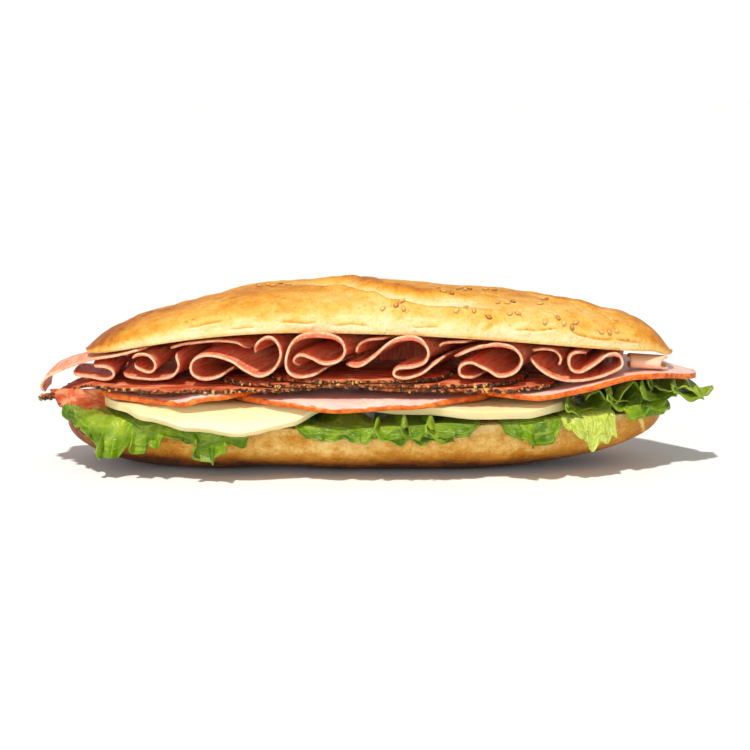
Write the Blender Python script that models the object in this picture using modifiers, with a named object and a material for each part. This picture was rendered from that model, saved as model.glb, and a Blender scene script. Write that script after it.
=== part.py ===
"""A submarine sandwich: a long seeded roll cut through, with lettuce, cheese, smoked ham,
pepper-crusted pastrami and ruffled slices of cured ham.

X runs along the roll, -Y is the side that faces the viewer, +Z is up, all in metres.
The roll stands on z = 0, with the origin under the middle of the whole sandwich.
"""

import math
import random

import bmesh
import bpy
import numpy as np
from mathutils import Matrix, Vector, noise

# Driving sizes, in metres

GAP = 0.0004

BOTTOM_LEFT = -0.1290
BOTTOM_RIGHT = 0.1200
TOP_LEFT = -0.1210
TOP_RIGHT = 0.1245
ROLL_HALF_WIDTH = 0.0420
BOTTOM_RIM = 0.0215
BOTTOM_BULGE = 0.0020
FLAT_DEPTH = 0.0012
CUT_PEAK = 0.0603
CUT_PEAK_X = -0.0300
CROWN_HEIGHT = 0.0766
CROWN_FOOT = 0.0450
CUT_SAG = 0.0026

# Where the crown swells or sinks: middle, half width, height
CROWN_SWELLS = [(-0.119, 0.014, 0.0020), (-0.083, 0.028, -0.0011), (-0.048, 0.022, 0.0010),
                (0.036, 0.048, -0.0014), (0.066, 0.016, -0.0006), (0.112, 0.020, 0.0025)]

# The slashes over the crown: the near lip as (x, share across from the front rim to the back rim),
# then the slash's middle and half length in x, its depth, and its width as a share across
SLASHES = [
    {"lip": [(-0.032, 0.48), (-0.016, 0.44), (-0.0015, 0.33), (0.0074, 0.26), (0.019, 0.222), (0.040, 0.237)],
     "middle": 0.006, "length": 0.046, "depth": 0.0024, "width": 0.075},
    {"lip": [(0.066, 0.48), (0.080, 0.44), (0.096, 0.42)],
     "middle": 0.083, "length": 0.020, "depth": 0.0013, "width": 0.050},
]

CHEESE_THICKNESS = 0.0034
HAM_THICKNESS = 0.0023
PASTRAMI_THICKNESS = 0.0013
RUFFLE_THICKNESS = 0.0014
LEAF_THICKNESS = 0.0008
LEAF_LIFT = 0.0013
LEAF_CURVE = 0.0038

CHEESE_LEVEL = 0.0276
HAM_LEVEL = 0.0317
PASTRAMI_LEVEL = 0.0371
RUFFLE_FLOOR = 0.0426
RUFFLE_SLANT = 0.0038
RUFFLE_SWAY = 0.0140

SEED_LENGTH = 0.0031
SEED_WIDTH = 0.0019
SEED_HEIGHT = 0.0010

# Steps of the roll halves: round the section, those of them on the cut face, and along the length
ROLL_AROUND = 26
ROLL_FACE_SHARE = 6
ROLL_ALONG = 22


def ease(low, high, value):
    """A smooth step from 0 at low to 1 at high."""
    t = min(1.0, max(0.0, (value - low) / (high - low)))
    return t * t * (3.0 - 2.0 * t)


def hump(centre, half_width, value):
    """A smooth hill of height 1 at the centre, which is gone at half_width."""
    t = min(1.0, abs(value - centre) / half_width)
    return (1.0 - t * t) ** 2


def through(points, value):
    """A smooth curve through (place, height) points, read at a place."""
    if value <= points[0][0]:
        return points[0][1]
    for (low, start), (high, end) in zip(points, points[1:]):
        if value <= high:
            return start + (end - start) * ease(low, high, value)
    return points[-1][1]


# The roll

def along(x, left, right):
    """A place along the roll, -1 at its left end and 1 at its right end."""
    return max(-1.0, min(1.0, (2.0 * x - left - right) / (right - left)))


def plan_half_width(u):
    """Half the width of the roll, blunt at both ends."""
    return ROLL_HALF_WIDTH * (1.0 - abs(u) ** 3.2) ** 0.5


def bottom_half_width(x):
    return plan_half_width(along(x, BOTTOM_LEFT, BOTTOM_RIGHT))


def top_half_width(x):
    return plan_half_width(along(x, TOP_LEFT, TOP_RIGHT))


def bottom_rim(x):
    """Height of the lower roll's cut face, which climbs towards the right end."""
    away = x + 0.020
    rise = 0.33 if away > 0.0 else 0.20
    return BOTTOM_RIM + rise * away * away


def bottom_keel(x):
    """Height of the underside, which lifts off the table at the ends and in one dent."""
    right_lift = 0.0080 * max(0.0, (x - 0.035) / 0.085) ** 1.4
    left_lift = 0.0030 * max(0.0, (-x - 0.095) / 0.034) ** 2
    dent = 0.0016 * hump(-0.040, 0.026, x)
    return right_lift + left_lift + dent


def top_cut(x):
    """Height of the upper roll's cut edge, which arches over the filling."""
    away = x - CUT_PEAK_X
    fall = 0.52 if away > 0.0 else 1.75
    tip = 0.0030 * ease(0.112, 0.1245, x)
    return CUT_PEAK - fall * away * away - tip


def cut_sag(x, depth):
    """How far the upper roll's soft cut face presses down into the filling; depth is 0 in the middle."""
    inside = 1.0 - min(1.0, depth * depth)
    return CUT_SAG * inside * inside * top_half_width(x) / ROLL_HALF_WIDTH


def top_height(x):
    """Height of the crust above the cut edge along the roll's middle."""
    u = along(x, TOP_LEFT, TOP_RIGHT)
    crown = CROWN_FOOT + (CROWN_HEIGHT - CROWN_FOOT) * (1.0 - abs(u) ** 2.2) ** 0.58
    swell = sum(height * hump(middle, half_width, x) for middle, half_width, height in CROWN_SWELLS)
    return max(0.002, crown + swell - top_cut(x))


def slashes(x, across):
    """Relief of the slashes: a raised near lip, a valley behind it, and a low far ridge."""
    relief = 0.0
    for slash in SLASHES:
        side = (across - through(slash["lip"], x)) / slash["width"]
        reach = hump(slash["middle"], slash["length"], x) ** 0.6
        lip = 0.42 * hump(-0.22, 0.55, side)
        valley = hump(0.85, 0.95, side)
        far_ridge = 0.30 * hump(2.2, 0.8, side)
        relief += reach * slash["depth"] * (lip - valley + far_ridge)
    return relief


def new_object(name, mesh_maker, material):
    """One named object in the sandwich's collection."""
    mesh = bpy.data.meshes.new(name)
    mesh_maker.to_mesh(mesh)
    mesh_maker.free()
    piece = bpy.data.objects.new(name, mesh)
    piece.data.materials.append(material)
    sandwich.objects.link(piece)
    return piece


def roll_half(name, left, right, section, material):
    """A half roll: a sphere with its poles at the two ends, moved point by point to a section."""
    shape = bmesh.new()
    bmesh.ops.create_uvsphere(shape, u_segments=ROLL_AROUND, v_segments=ROLL_ALONG, radius=1.0)
    middle, half_length = (left + right) / 2.0, (right - left) / 2.0
    for vert in shape.verts:
        u = max(-1.0, min(1.0, vert.co.z))
        turn = (math.atan2(vert.co.y, vert.co.x) / (2.0 * math.pi)) % 1.0
        step = round(turn * ROLL_AROUND) % ROLL_AROUND
        x = middle + half_length * math.copysign(abs(u) ** 0.96, u)
        if step < ROLL_FACE_SHARE:
            y, z = section(x, u, None, step / ROLL_FACE_SHARE)
        else:
            y, z = section(x, u, (step - ROLL_FACE_SHARE) / (ROLL_AROUND - ROLL_FACE_SHARE), None)
        vert.co = (x, y, z)
    bmesh.ops.recalc_face_normals(shape, faces=shape.faces)
    bmesh.ops.triangulate(shape, faces=shape.faces)
    return new_object(name, shape, material)


def bottom_section(x, u, crust, face):
    """The lower roll's outline: crust runs from the back rim under to the front rim."""
    width = bottom_half_width(x)
    plump = (1.0 - abs(u) ** 5) ** 0.5
    rim = bottom_rim(x)
    pole = rim - 0.006
    if crust is None:
        y = width * (2.0 * face - 1.0)
        sunk = 0.0010 * hump(0.5, 0.45, face)
        return y, pole + (rim - sunk - pole) * plump
    angle = math.pi * crust
    reach = abs(math.cos(angle)) ** 0.95
    bulge = BOTTOM_BULGE * math.sin(2.0 * min(angle, math.pi - angle))
    y = math.copysign(width * reach + bulge * plump, math.cos(angle))
    depth = rim + FLAT_DEPTH - bottom_keel(x)
    low = rim - depth * math.sin(angle)
    lump = 0.0005 * noise.noise(Vector((x * 40.0, y * 40.0, low * 40.0))) * math.sin(angle)
    z = max(bottom_keel(x), pole + (low - pole) * plump)
    return y + math.copysign(lump, y), z


def top_section(x, u, crust, face):
    """The upper roll's outline: crust runs from the back rim over the crown to the front rim."""
    width = top_half_width(x)
    plump = (1.0 - abs(u) ** 14) ** 0.5
    cut = top_cut(x)
    pole = cut + 0.003
    if crust is None:
        sag = cut_sag(x, 2.0 * face - 1.0)
        return width * (2.0 * face - 1.0), pole + (cut - sag - pole) * plump
    angle = math.pi * crust
    reach = abs(math.cos(angle)) ** 0.62
    bulge = 0.0016 * math.sin(2.0 * min(angle, math.pi - angle)) ** 2
    y = math.copysign(width * reach + bulge * plump, math.cos(angle))
    z = cut + top_height(x) * math.sin(angle) ** 0.80
    lump = 0.0007 * noise.noise(Vector((x * 35.0, y * 35.0, z * 35.0))) * math.sin(angle)
    rise = (slashes(x, 1.0 - crust) + lump) * plump
    return y, pole + (z - pole) * plump + rise


# Flat layers

def sheet(name, columns, rows, place, thickness, material, side=0.0):
    """A thin food slice: a grid put in place point by point, split alike on both faces and thickened.

    side is 0 to thicken it to both sides, and 1 to thicken it upwards only.
    """
    shape = bmesh.new()
    bmesh.ops.create_grid(shape, x_segments=columns, y_segments=rows, size=0.5)
    for vert in shape.verts:
        vert.co = place(vert.co.x + 0.5, vert.co.y + 0.5)
    bmesh.ops.triangulate(shape, faces=shape.faces)
    piece = new_object(name, shape, material)
    wall = piece.modifiers.new("Thickness", "SOLIDIFY")
    wall.thickness = thickness
    wall.offset = side
    return piece


def drape(x, y, amount, start, recede):
    """How far a slice hangs down past the roll's rim, from start on, less by recede at the roll's ends."""
    rim = start - recede * abs(x / 0.130) ** 4
    out = max(0.0, abs(y) - rim)
    return amount * (out / 0.007) ** 1.5


def slice_layer(name, left, right, front, back, level, droop, bluntness, thickness, size, material,
                start=0.0420, recede=0.0120):
    """A slice that lies through the sandwich, with a rounded outline and edges that droop."""
    middle, half = (left + right) / 2.0, (right - left) / 2.0

    def place(s, t):
        u = -0.985 * math.cos(math.pi * s)
        x = middle + half * u
        round_end = (1.0 - abs(u) ** bluntness) ** 0.5
        y_front = -front(x) * round_end
        y_back = back(x) * round_end
        across = 0.5 - 0.5 * math.cos(math.pi * t)
        y = y_front + (y_back - y_front) * (0.35 * t + 0.65 * across)
        return Vector((x, y, level(x) - drape(x, y, droop, start, recede)))

    return sheet(name, size[0], size[1], place, thickness, material, 1.0)


def build_cheese(material):
    left_front = [(-0.114, 0.033), (-0.092, 0.0428), (-0.073, 0.0460), (-0.054, 0.0480), (-0.034, 0.0455),
                  (-0.018, 0.0415)]
    right_front = [(0.020, 0.0415), (0.040, 0.0460), (0.060, 0.0455), (0.082, 0.0380)]
    slice_layer("cheese_left", -0.1135, -0.012, lambda x: through(left_front, x), lambda x: 0.0445,
                lambda x: CHEESE_LEVEL, 0.0057, 8, CHEESE_THICKNESS, (8, 7), material, 0.0390, 0.0040)
    slice_layer("cheese_right", -0.008, 0.084, lambda x: through(right_front, x), lambda x: 0.0440,
                lambda x: CHEESE_LEVEL, 0.0030, 8, CHEESE_THICKNESS, (8, 7), material, 0.0390, 0.0040)


def over_left_level(x):
    return HAM_LEVEL + (HAM_THICKNESS + GAP) * ease(-0.082, -0.066, x)


def over_right_level(x):
    over = HAM_LEVEL + HAM_THICKNESS + GAP
    climb = 0.0056 * ease(0.064, 0.108, x)
    droop = 0.0006 * ease(0.056, 0.066, x) + 0.0030 * ease(0.114, 0.134, x)
    return over + climb - droop


def build_smoked_ham(material):
    left_front = [(-0.120, 0.020), (-0.105, 0.0350), (-0.089, 0.0415), (-0.074, 0.0458), (-0.060, 0.0455),
                  (-0.040, 0.041)]
    middle_front = [(-0.066, 0.040), (-0.040, 0.0455), (-0.015, 0.0485), (0.010, 0.0470), (0.055, 0.040)]
    right_front = [(0.030, 0.041), (0.060, 0.0455), (0.085, 0.0420), (0.110, 0.0290), (0.134, 0.0150)]
    slice_layer("smoked_ham_left", -0.1170, -0.042, lambda x: through(left_front, x), lambda x: 0.0440,
                over_left_level, 0.0030, 5, HAM_THICKNESS, (10, 6), material)
    slice_layer("smoked_ham_middle", -0.064, 0.053, lambda x: through(middle_front, x), lambda x: 0.0450,
                lambda x: HAM_LEVEL, 0.0036, 6, HAM_THICKNESS, (11, 6), material)
    slice_layer("smoked_ham_right", 0.032, 0.135, lambda x: through(right_front, x),
                lambda x: through(right_front, x) - 0.001, over_right_level, 0.0018, 5, HAM_THICKNESS,
                (12, 6), material)


def build_pastrami(material):
    step = PASTRAMI_THICKNESS + GAP
    left_front = [(-0.141, 0.006), (-0.125, 0.017), (-0.105, 0.0360), (-0.085, 0.0450), (-0.015, 0.0450)]

    def left_level(x):
        tip = 0.0092 * (1.0 - ease(-0.141, -0.113, x))
        slope = 0.0012 * (1.0 - ease(-0.104, -0.080, x))
        return PASTRAMI_LEVEL - tip - slope

    slice_layer("pastrami_left", -0.1412, -0.018, lambda x: through(left_front, x),
                lambda x: through(left_front, x) - 0.001, left_level, 0.0016, 10, PASTRAMI_THICKNESS,
                (13, 4), material)
    slice_layer("pastrami_right", -0.012, 0.078, lambda x: 0.0450, lambda x: 0.0440,
                lambda x: PASTRAMI_LEVEL + 0.0007 * ease(0.05, 0.075, x), 0.0016, 6, PASTRAMI_THICKNESS,
                (9, 4), material)
    slice_layer("pastrami_middle", -0.066, 0.064, lambda x: 0.0446, lambda x: 0.0440,
                lambda x: PASTRAMI_LEVEL + step, 0.0014, 7, PASTRAMI_THICKNESS, (9, 4), material)
    slice_layer("pastrami_top", -0.046, 0.033, lambda x: 0.0442, lambda x: 0.0436,
                lambda x: PASTRAMI_LEVEL + 2.0 * step, 0.0012, 6, PASTRAMI_THICKNESS, (8, 4), material)


# Ruffled slices of cured ham

# Each fold is the slice's path across the sandwich, seen from the front, as (x, z) in millimetres.
FOLDS = {
    "cured_ham_flap": [(-93.0, 52.1), (-97.4, 51.3), (-102, 49.8), (-107, 48.4), (-112, 47.1), (-118, 45.3),
                       (-124, 43.7), (-130, 41.9), (-135.4, 39.3), (-138.0, 35.6), (-137.4, 31.6)],
    "cured_ham_1": [(-125.4, 39.7), (-121.5, 39.1), (-116, 38.6), (-110, 38.6), (-106.6, 40.2),
                    (-106.4, 42.4), (-109, 43.8), (-113.4, 43.6), (-117, 42.4)],
    "cured_ham_2": [(-99.2, 47.9), (-96.2, 49.6), (-92.4, 50.1), (-89.2, 48.6), (-88.3, 45.6), (-90.6, 43.2),
                    (-94.2, 44.0), (-98.4, 45.8)],
    "cured_ham_3": [(-103.5, 41.0), (-96, 40.4), (-88, 40.5), (-81.5, 42.0), (-78.8, 46.5), (-80.6, 51.0)],
    "cured_ham_4": [(-57.4, 45.4), (-63, 42.4), (-69, 41.4), (-73.2, 43.6), (-73.4, 48.0), (-69.4, 50.9),
                    (-63.2, 50.8), (-57, 48.9), (-51.8, 45.3), (-46.4, 43.0), (-41.4, 44.9), (-38.2, 49.2),
                    (-37.6, 53.6), (-40.0, 57.4), (-43.6, 58.2), (-47.4, 55.6), (-48.6, 51.4)],
    "cured_ham_5": [(-19.8, 45.6), (-25, 43.7), (-30.6, 43.0), (-34.6, 45.2), (-35.4, 50.4), (-33.2, 55.6),
                    (-28.4, 58.4), (-20.6, 58.9), (-14.2, 57.2), (-11.9, 53.2), (-14.6, 49.5), (-20.2, 48.3),
                    (-25.2, 50.6), (-30.0, 52.0), (-32.6, 49.2), (-30.6, 46.4)],
    "cured_ham_6": [(-12.2, 47.2), (-6, 47.5), (-0.6, 51.0), (4.8, 55.4), (11, 57.7), (17.4, 57.2),
                    (21.2, 53.4), (19.9, 49.0), (14.4, 46.9), (8.8, 46.4), (7.4, 43.7), (12.4, 42.7),
                    (18.6, 44.4), (23.4, 48.0), (28.0, 50.6)],
    "cured_ham_7": [(31.2, 50.1), (36, 52.8), (42.4, 54.6), (49.4, 55.2), (55.6, 53.6), (58.6, 49.6),
                    (56.2, 44.8), (50, 43.0), (44.8, 45.6), (38.6, 48.6), (34.0, 47.2), (34.0, 43.6),
                    (38.4, 42.6), (42.6, 43.0)],
    "cured_ham_8": [(62.0, 49.4), (66.4, 45.4), (71.6, 42.2), (78, 40.7), (86, 40.9), (94, 42.7),
                    (99.8, 45.6), (98.6, 49.4), (93.2, 49.8), (88.2, 46.8), (82.6, 43.9), (78.4, 45.6),
                    (77.8, 50.0), (81.2, 51.8), (85.4, 50.6)],
    "cured_ham_9": [(-84.6, 52.2), (-77.6, 54.5), (-70, 55.7), (-62, 56.4), (-54.8, 55.4), (-52.6, 52.2)],
    "cured_ham_10": [(-8.0, 50.8), (-6.8, 55.0), (-3.0, 57.2), (1.6, 57.6), (5.2, 58.0)],
    "cured_ham_11": [(24.6, 53.6), (27.0, 55.8), (32.0, 56.2), (38.0, 56.4)],
    "cured_ham_12": [(62.0, 52.4), (67.2, 53.2), (72.4, 52.2), (74.8, 48.6), (73.0, 45.4)],
}

FOLD_STEPS = {"cured_ham_flap": 13, "cured_ham_1": 13, "cured_ham_2": 13, "cured_ham_3": 9, "cured_ham_4": 26,
              "cured_ham_5": 26, "cured_ham_6": 23, "cured_ham_7": 22, "cured_ham_8": 22, "cured_ham_9": 7,
              "cured_ham_10": 6, "cured_ham_11": 5, "cured_ham_12": 7}

# How far each fold comes forward past the roll's rim, and its back edge past the other rim
FOLD_REACH = {"cured_ham_flap": (0.001, 0.001), "cured_ham_1": (0.003, 0.001), "cured_ham_2": (0.003, 0.002),
              "cured_ham_3": (0.0015, 0.001), "cured_ham_4": (0.003, 0.002), "cured_ham_5": (0.0042, 0.003),
              "cured_ham_6": (0.0036, 0.002), "cured_ham_7": (0.0030, 0.003), "cured_ham_8": (0.003, 0.002),
              "cured_ham_9": (-0.003, -0.003), "cured_ham_10": (-0.003, -0.003),
              "cured_ham_11": (-0.003, -0.003), "cured_ham_12": (-0.002, -0.002)}


def smooth_path(points, steps):
    """Evenly spaced points on the Catmull-Rom curve through a few points."""
    points = [np.array(point, dtype=float) for point in points]
    ends = [2.0 * points[0] - points[1]] + points + [2.0 * points[-1] - points[-2]]
    fine = []
    for before, start, end, after in zip(ends, ends[1:], ends[2:], ends[3:]):
        for k in range(12):
            t = k / 12.0
            fine.append(0.5 * (2.0 * start + (end - before) * t
                               + (2.0 * before - 5.0 * start + 4.0 * end - after) * t * t
                               + (3.0 * start - before - 3.0 * end + after) * t ** 3))
    fine.append(points[-1])
    fine = np.array(fine)
    run = np.concatenate([[0.0], np.cumsum(np.linalg.norm(np.diff(fine, axis=0), axis=1))])
    marks = np.linspace(0.0, run[-1], steps + 1)
    return np.stack([np.interp(marks, run, fine[:, axis]) for axis in range(2)], axis=1)


def press(x, y, z):
    """The squeeze that all folds share: under the cut's sag, slanting to the back, swaying in the middle."""
    half = max(0.014, top_half_width(x))
    depth = max(-1.0, min(1.0, y / half))
    floor = RUFFLE_FLOOR - 0.0030 * (1.0 - ease(-0.100, -0.085, x))
    room = top_cut(x) - floor
    share = max(0.0, min(1.0, (z - floor) / room))
    lift = 0.0022 * ease(0.0010, 0.0040, abs(y) - half) * ease(0.5, 1.0, share)
    turn = depth * math.pi / 2.0
    skew = RUFFLE_SLANT * (1.0 + math.sin(turn)) + RUFFLE_SWAY * math.cos(turn) ** 2
    skew *= max(0.0, 1.0 - (x / 0.112) ** 2)
    lost = room - (top_cut(x + skew) - cut_sag(x + skew, depth) - floor)
    climb = (over_right_level(x + skew) - over_right_level(x)) * (1.0 - share)
    return Vector((x + skew, y, z - lost * share + lift + climb))


def build_fold(name, material):
    path = smooth_path(FOLDS[name], FOLD_STEPS[name]) * 0.001
    front, back = FOLD_REACH[name]

    def place(s, t):
        x, z = path[round(s * (len(path) - 1))]
        half = max(0.014, top_half_width(x))
        corner = 0.5 * (2.0 * s - 1.0) ** 8
        inset = 0.0002 if front > 0.0 else 0.0082
        stops = (-(half + front - corner * abs(front)), inset - half, 0.0, half - inset,
                 half + back - corner * abs(back))
        return press(x, stops[round(4.0 * t)], z)

    return sheet(name, FOLD_STEPS[name], 4, place, RUFFLE_THICKNESS, material)


def build_end_roll(material):
    """A slice rolled into a flat tube that lies along the roll's right end."""
    def place(s, t):
        angle = math.radians(120.0 + 310.0 * s)
        x = 0.1045 + 0.0160 * t
        taper = 1.0 - 0.10 * t
        y = -0.0110 + 0.0066 * taper * math.sin(angle)
        z = 0.0452 - 0.0008 * t + 0.0026 * taper * math.cos(angle)
        return Vector((x, y, z))

    return sheet("cured_ham_roll", 16, 3, place, 0.0011, material)


# Lettuce

def rim_table():
    """The lower roll's rim as arc length, x, y and outward direction, round the front from the left end."""
    turn = np.linspace(0.0, math.pi, 400)
    middle, half = (BOTTOM_LEFT + BOTTOM_RIGHT) / 2.0, (BOTTOM_RIGHT - BOTTOM_LEFT) / 2.0
    x = middle - half * np.cos(turn)
    y = np.array([-bottom_half_width(value) for value in x])
    run = np.concatenate([[0.0], np.cumsum(np.hypot(np.diff(x), np.diff(y)))])
    tx, ty = np.gradient(x, run), np.gradient(y, run)
    size = np.hypot(tx, ty)
    return run, x, y, ty / size, -tx / size


RIM = rim_table()


def rim_at(run):
    """Place and outward direction on the rim at an arc length from the left end."""
    return [float(np.interp(run, RIM[0], column)) for column in RIM[1:]]


def run_at(x):
    """Arc length along the rim where it reaches x."""
    return float(np.interp(x, RIM[1], RIM[0]))


def build_leaf(name, left, right, side, edge, frill, waves, phase, size, material, rise=0.0):
    """A leaf that runs from the middle of the cut face over the rim and hangs, with a frilled edge.

    edge(s) is the height of its lower edge, side is -1 at the front and 1 at the back, and
    rise is how far it stands up off the rim at its left end.
    """
    start, end = run_at(left), run_at(right)

    def place(s, t):
        run = start + (end - start) * s
        wave = 2.0 * math.pi * waves * s + phase
        x, y, nx, ny = rim_at(run)
        rim = bottom_rim(x) + rise * (1.0 - ease(0.02, 0.14, s))
        bend = LEAF_CURVE * math.pi / 2.0
        hang = max(0.001, rim + LEAF_LIFT - LEAF_CURVE - edge(s))
        row = round(t * size[1])
        if row < 3:
            inward = (0.94, 0.50, 0.0)[row]
            room = max(0.0, CHEESE_LEVEL - rim - LEAF_LIFT - LEAF_THICKNESS - GAP)
            swell = 0.5 * room * (1.0 + math.sin(wave * 0.5 + 1.0 + 2.5 * inward)) * ease(0.0, 0.4, inward)
            return Vector((x, -side * y * (1.0 - inward), rim + LEAF_LIFT + swell))
        out = 0.5 * bend if row == 3 else bend + hang * (row - 4.0) / (size[1] - 4.0)
        if row == 3:
            reach = LEAF_CURVE * math.sin(out / LEAF_CURVE)
            z = rim + LEAF_LIFT - LEAF_CURVE * (1.0 - math.cos(out / LEAF_CURVE))
        else:
            reach = LEAF_CURVE
            z = rim + LEAF_LIFT - LEAF_CURVE - (out - bend)
        loose = frill * ease(0.4 * bend, bend + 0.010, out)
        reach += 0.0006 * ease(0.0, bend, out) + loose * (1.0 + math.sin(wave))
        z += 0.35 * loose * math.cos(wave * 1.7 + phase)
        slide = 0.45 * loose * math.cos(wave)
        x += nx * reach - ny * slide
        y += ny * reach + nx * slide
        return Vector((x, -side * y, z))

    return sheet(name, size[0], size[1], place, LEAF_THICKNESS, material)


def lobes(points):
    """Lower edge heights, from (share along the leaf, height in millimetres) points."""
    return lambda s: 0.001 * through(points, s)


def build_lettuce(material):
    left_edge = lobes([(0.0, 22), (0.14, 20), (0.20, 17), (0.28, 8.6), (0.37, 8.6), (0.42, 16.5), (0.47, 11),
                       (0.52, 11.5), (0.57, 18), (0.70, 16.5), (0.76, 9), (0.82, 8.8), (0.88, 15.5),
                       (0.95, 15), (1.0, 18.5)])
    middle_edge = lobes([(0.0, 20.5), (0.14, 16.5), (0.30, 17.5), (0.42, 15.5), (0.50, 19), (0.60, 16),
                         (0.68, 18.5), (0.80, 21.0), (0.90, 20), (1.0, 21)])
    right_edge = lobes([(0.0, 21.5), (0.3, 18), (0.6, 14.5), (0.85, 17), (1.0, 22)])
    build_leaf("lettuce_left", -0.1262, -0.047, -1, left_edge, 0.0021, 7.2, 0.4, (29, 7), material, 0.0040)
    build_leaf("lettuce_middle", -0.032, 0.042, -1, middle_edge, 0.0016, 6.0, 1.0, (22, 6), material)
    build_leaf("lettuce_right", 0.050, 0.0745, -1, right_edge, 0.0020, 2.2, 2.0, (10, 7), material)
    shred_edge = lobes([(0.0, 20), (0.35, 13), (0.6, 10.5), (0.8, 16), (1.0, 20)])
    build_leaf("lettuce_shred", 0.0765, 0.0950, -1, shred_edge, 0.0012, 0.8, 0.3, (7, 7), material)
    end_edge = lobes([(0.0, 26), (0.4, 24), (0.7, 25), (1.0, 25)])
    build_leaf("lettuce_end", 0.1000, 0.1185, -1, end_edge, 0.0016, 1.6, 0.8, (8, 6), material)
    back_left = lobes([(0.0, 19), (0.12, 12), (0.25, 16), (0.4, 9), (0.55, 15), (0.7, 11), (0.85, 16),
                       (1.0, 19)])
    build_leaf("lettuce_back_left", -0.110, -0.015, 1, back_left, 0.0019, 6.6, 0.2, (24, 6), material)
    back_right = lobes([(0.0, 20), (0.2, 14), (0.45, 18), (0.7, 12), (0.85, 17), (1.0, 21)])
    build_leaf("lettuce_back_right", 0.004, 0.096, 1, back_right, 0.0018, 6.0, 1.5, (22, 6), material)


def build_loose_leaves(material):
    """Two leaves that lie loose between the smoked ham and the right end of the roll."""
    def folded(s, t):
        x = 0.0850 + 0.0260 * s
        half = bottom_half_width(x) + 0.0015
        y = -half + (2.0 * half - 0.002) * t
        low = bottom_rim(x) + 0.0027
        high = over_right_level(x) - GAP - LEAF_THICKNESS / 2.0
        wave = math.sin(2.0 * math.pi * (1.6 * s + 0.8 * t))
        return Vector((x, y, (low + high) / 2.0 + 0.42 * (high - low) * wave))

    def pointed(s, t):
        x = 0.1150 + 0.0262 * s
        half = 0.0125 * (1.0 - 0.55 * s * s)
        y = -0.002 + half * (2.0 * t - 1.0)
        long_wave = 0.0016 * math.sin(2.0 * math.pi * (1.7 * s + 0.35))
        cross_wave = 0.0012 * math.sin(2.0 * math.pi * (t + s))
        return Vector((x, y, 0.0328 - 0.0012 * s * s + long_wave + cross_wave))

    sheet("lettuce_folded", 9, 8, folded, LEAF_THICKNESS, material)
    sheet("lettuce_tip", 9, 5, pointed, LEAF_THICKNESS, material)


# Seeds

# Clusters of seeds on the crust: middle x, middle across, spread in x, spread across, count
SEED_CLUSTERS = [(-0.038, 0.47, 0.012, 0.030, 6), (0.006, 0.34, 0.006, 0.030, 4),
                 (0.034, 0.39, 0.010, 0.050, 10), (0.051, 0.35, 0.008, 0.060, 9),
                 (0.072, 0.30, 0.006, 0.060, 6), (0.094, 0.26, 0.008, 0.040, 6)]


def crust_point(x, across):
    u = along(x, TOP_LEFT, TOP_RIGHT)
    y, z = top_section(x, u, 1.0 - across, None)
    return Vector((x, y, z))


def seed_places(roll):
    """Seed positions on the upper crust, each with its outward direction and its turn."""
    draw = random.Random(7)
    places = []
    bpy.context.view_layer.update()
    for middle, across, spread_x, spread_across, count in SEED_CLUSTERS:
        while count:
            x = middle + draw.uniform(-1.0, 1.0) * spread_x
            share = across + draw.uniform(-1.0, 1.0) * spread_across
            turn = draw.uniform(0.0, math.pi)
            found, point, normal, face = roll.closest_point_on_mesh(crust_point(x, share))
            if any((point - other).length < 1.25 * SEED_LENGTH for other, way, angle in places):
                continue
            places.append((point, normal, turn))
            count -= 1
    return places


def fuse_seeds(roll, material):
    """Sesame seeds joined to the crust by one union."""
    seeds = bpy.data.collections.new("seeds")
    bpy.context.scene.collection.children.link(seeds)
    for index, (point, normal, turn) in enumerate(seed_places(roll)):
        shape = bmesh.new()
        bmesh.ops.create_uvsphere(shape, u_segments=6, v_segments=3, radius=0.5)
        for vert in shape.verts:
            narrow = 1.0 - 0.45 * max(0.0, vert.co.x * 2.0)
            vert.co = (vert.co.x * SEED_LENGTH, vert.co.y * SEED_WIDTH * narrow, vert.co.z * SEED_HEIGHT)
        lie = normal.to_track_quat("Z", "Y").to_matrix().to_4x4()
        move = Matrix.Translation(point + normal * 0.00012) @ lie @ Matrix.Rotation(turn, 4, "Z")
        bmesh.ops.transform(shape, verts=shape.verts, matrix=move)
        mesh = bpy.data.meshes.new("seed")
        shape.to_mesh(mesh)
        shape.free()
        mesh.materials.append(material)
        seeds.objects.link(bpy.data.objects.new(f"seed_{index}", mesh))
    union = roll.modifiers.new("Seeds", "BOOLEAN")
    union.operation = "UNION"
    union.operand_type = "COLLECTION"
    union.collection = seeds
    union.solver = "EXACT"
    bpy.context.view_layer.update()
    joined = bpy.data.meshes.new_from_object(roll.evaluated_get(bpy.context.evaluated_depsgraph_get()))
    roll.modifiers.clear()
    roll.data = joined
    for seed in list(seeds.objects):
        bpy.data.objects.remove(seed)
    bpy.data.collections.remove(seeds)


# Materials

def food_material(name, color, roughness):
    material = bpy.data.materials.new(name)
    material.use_nodes = True
    shader = material.node_tree.nodes["Principled BSDF"]
    shader.inputs["Base Color"].default_value = (*color, 1.0)
    shader.inputs["Roughness"].default_value = roughness
    shader.inputs["Metallic"].default_value = 0.0
    material.diffuse_color = (*color, 1.0)
    return material


for leftover in list(bpy.data.objects):
    bpy.data.objects.remove(leftover)

sandwich = bpy.data.collections.new("submarine_sandwich")
bpy.context.scene.collection.children.link(sandwich)

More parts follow.
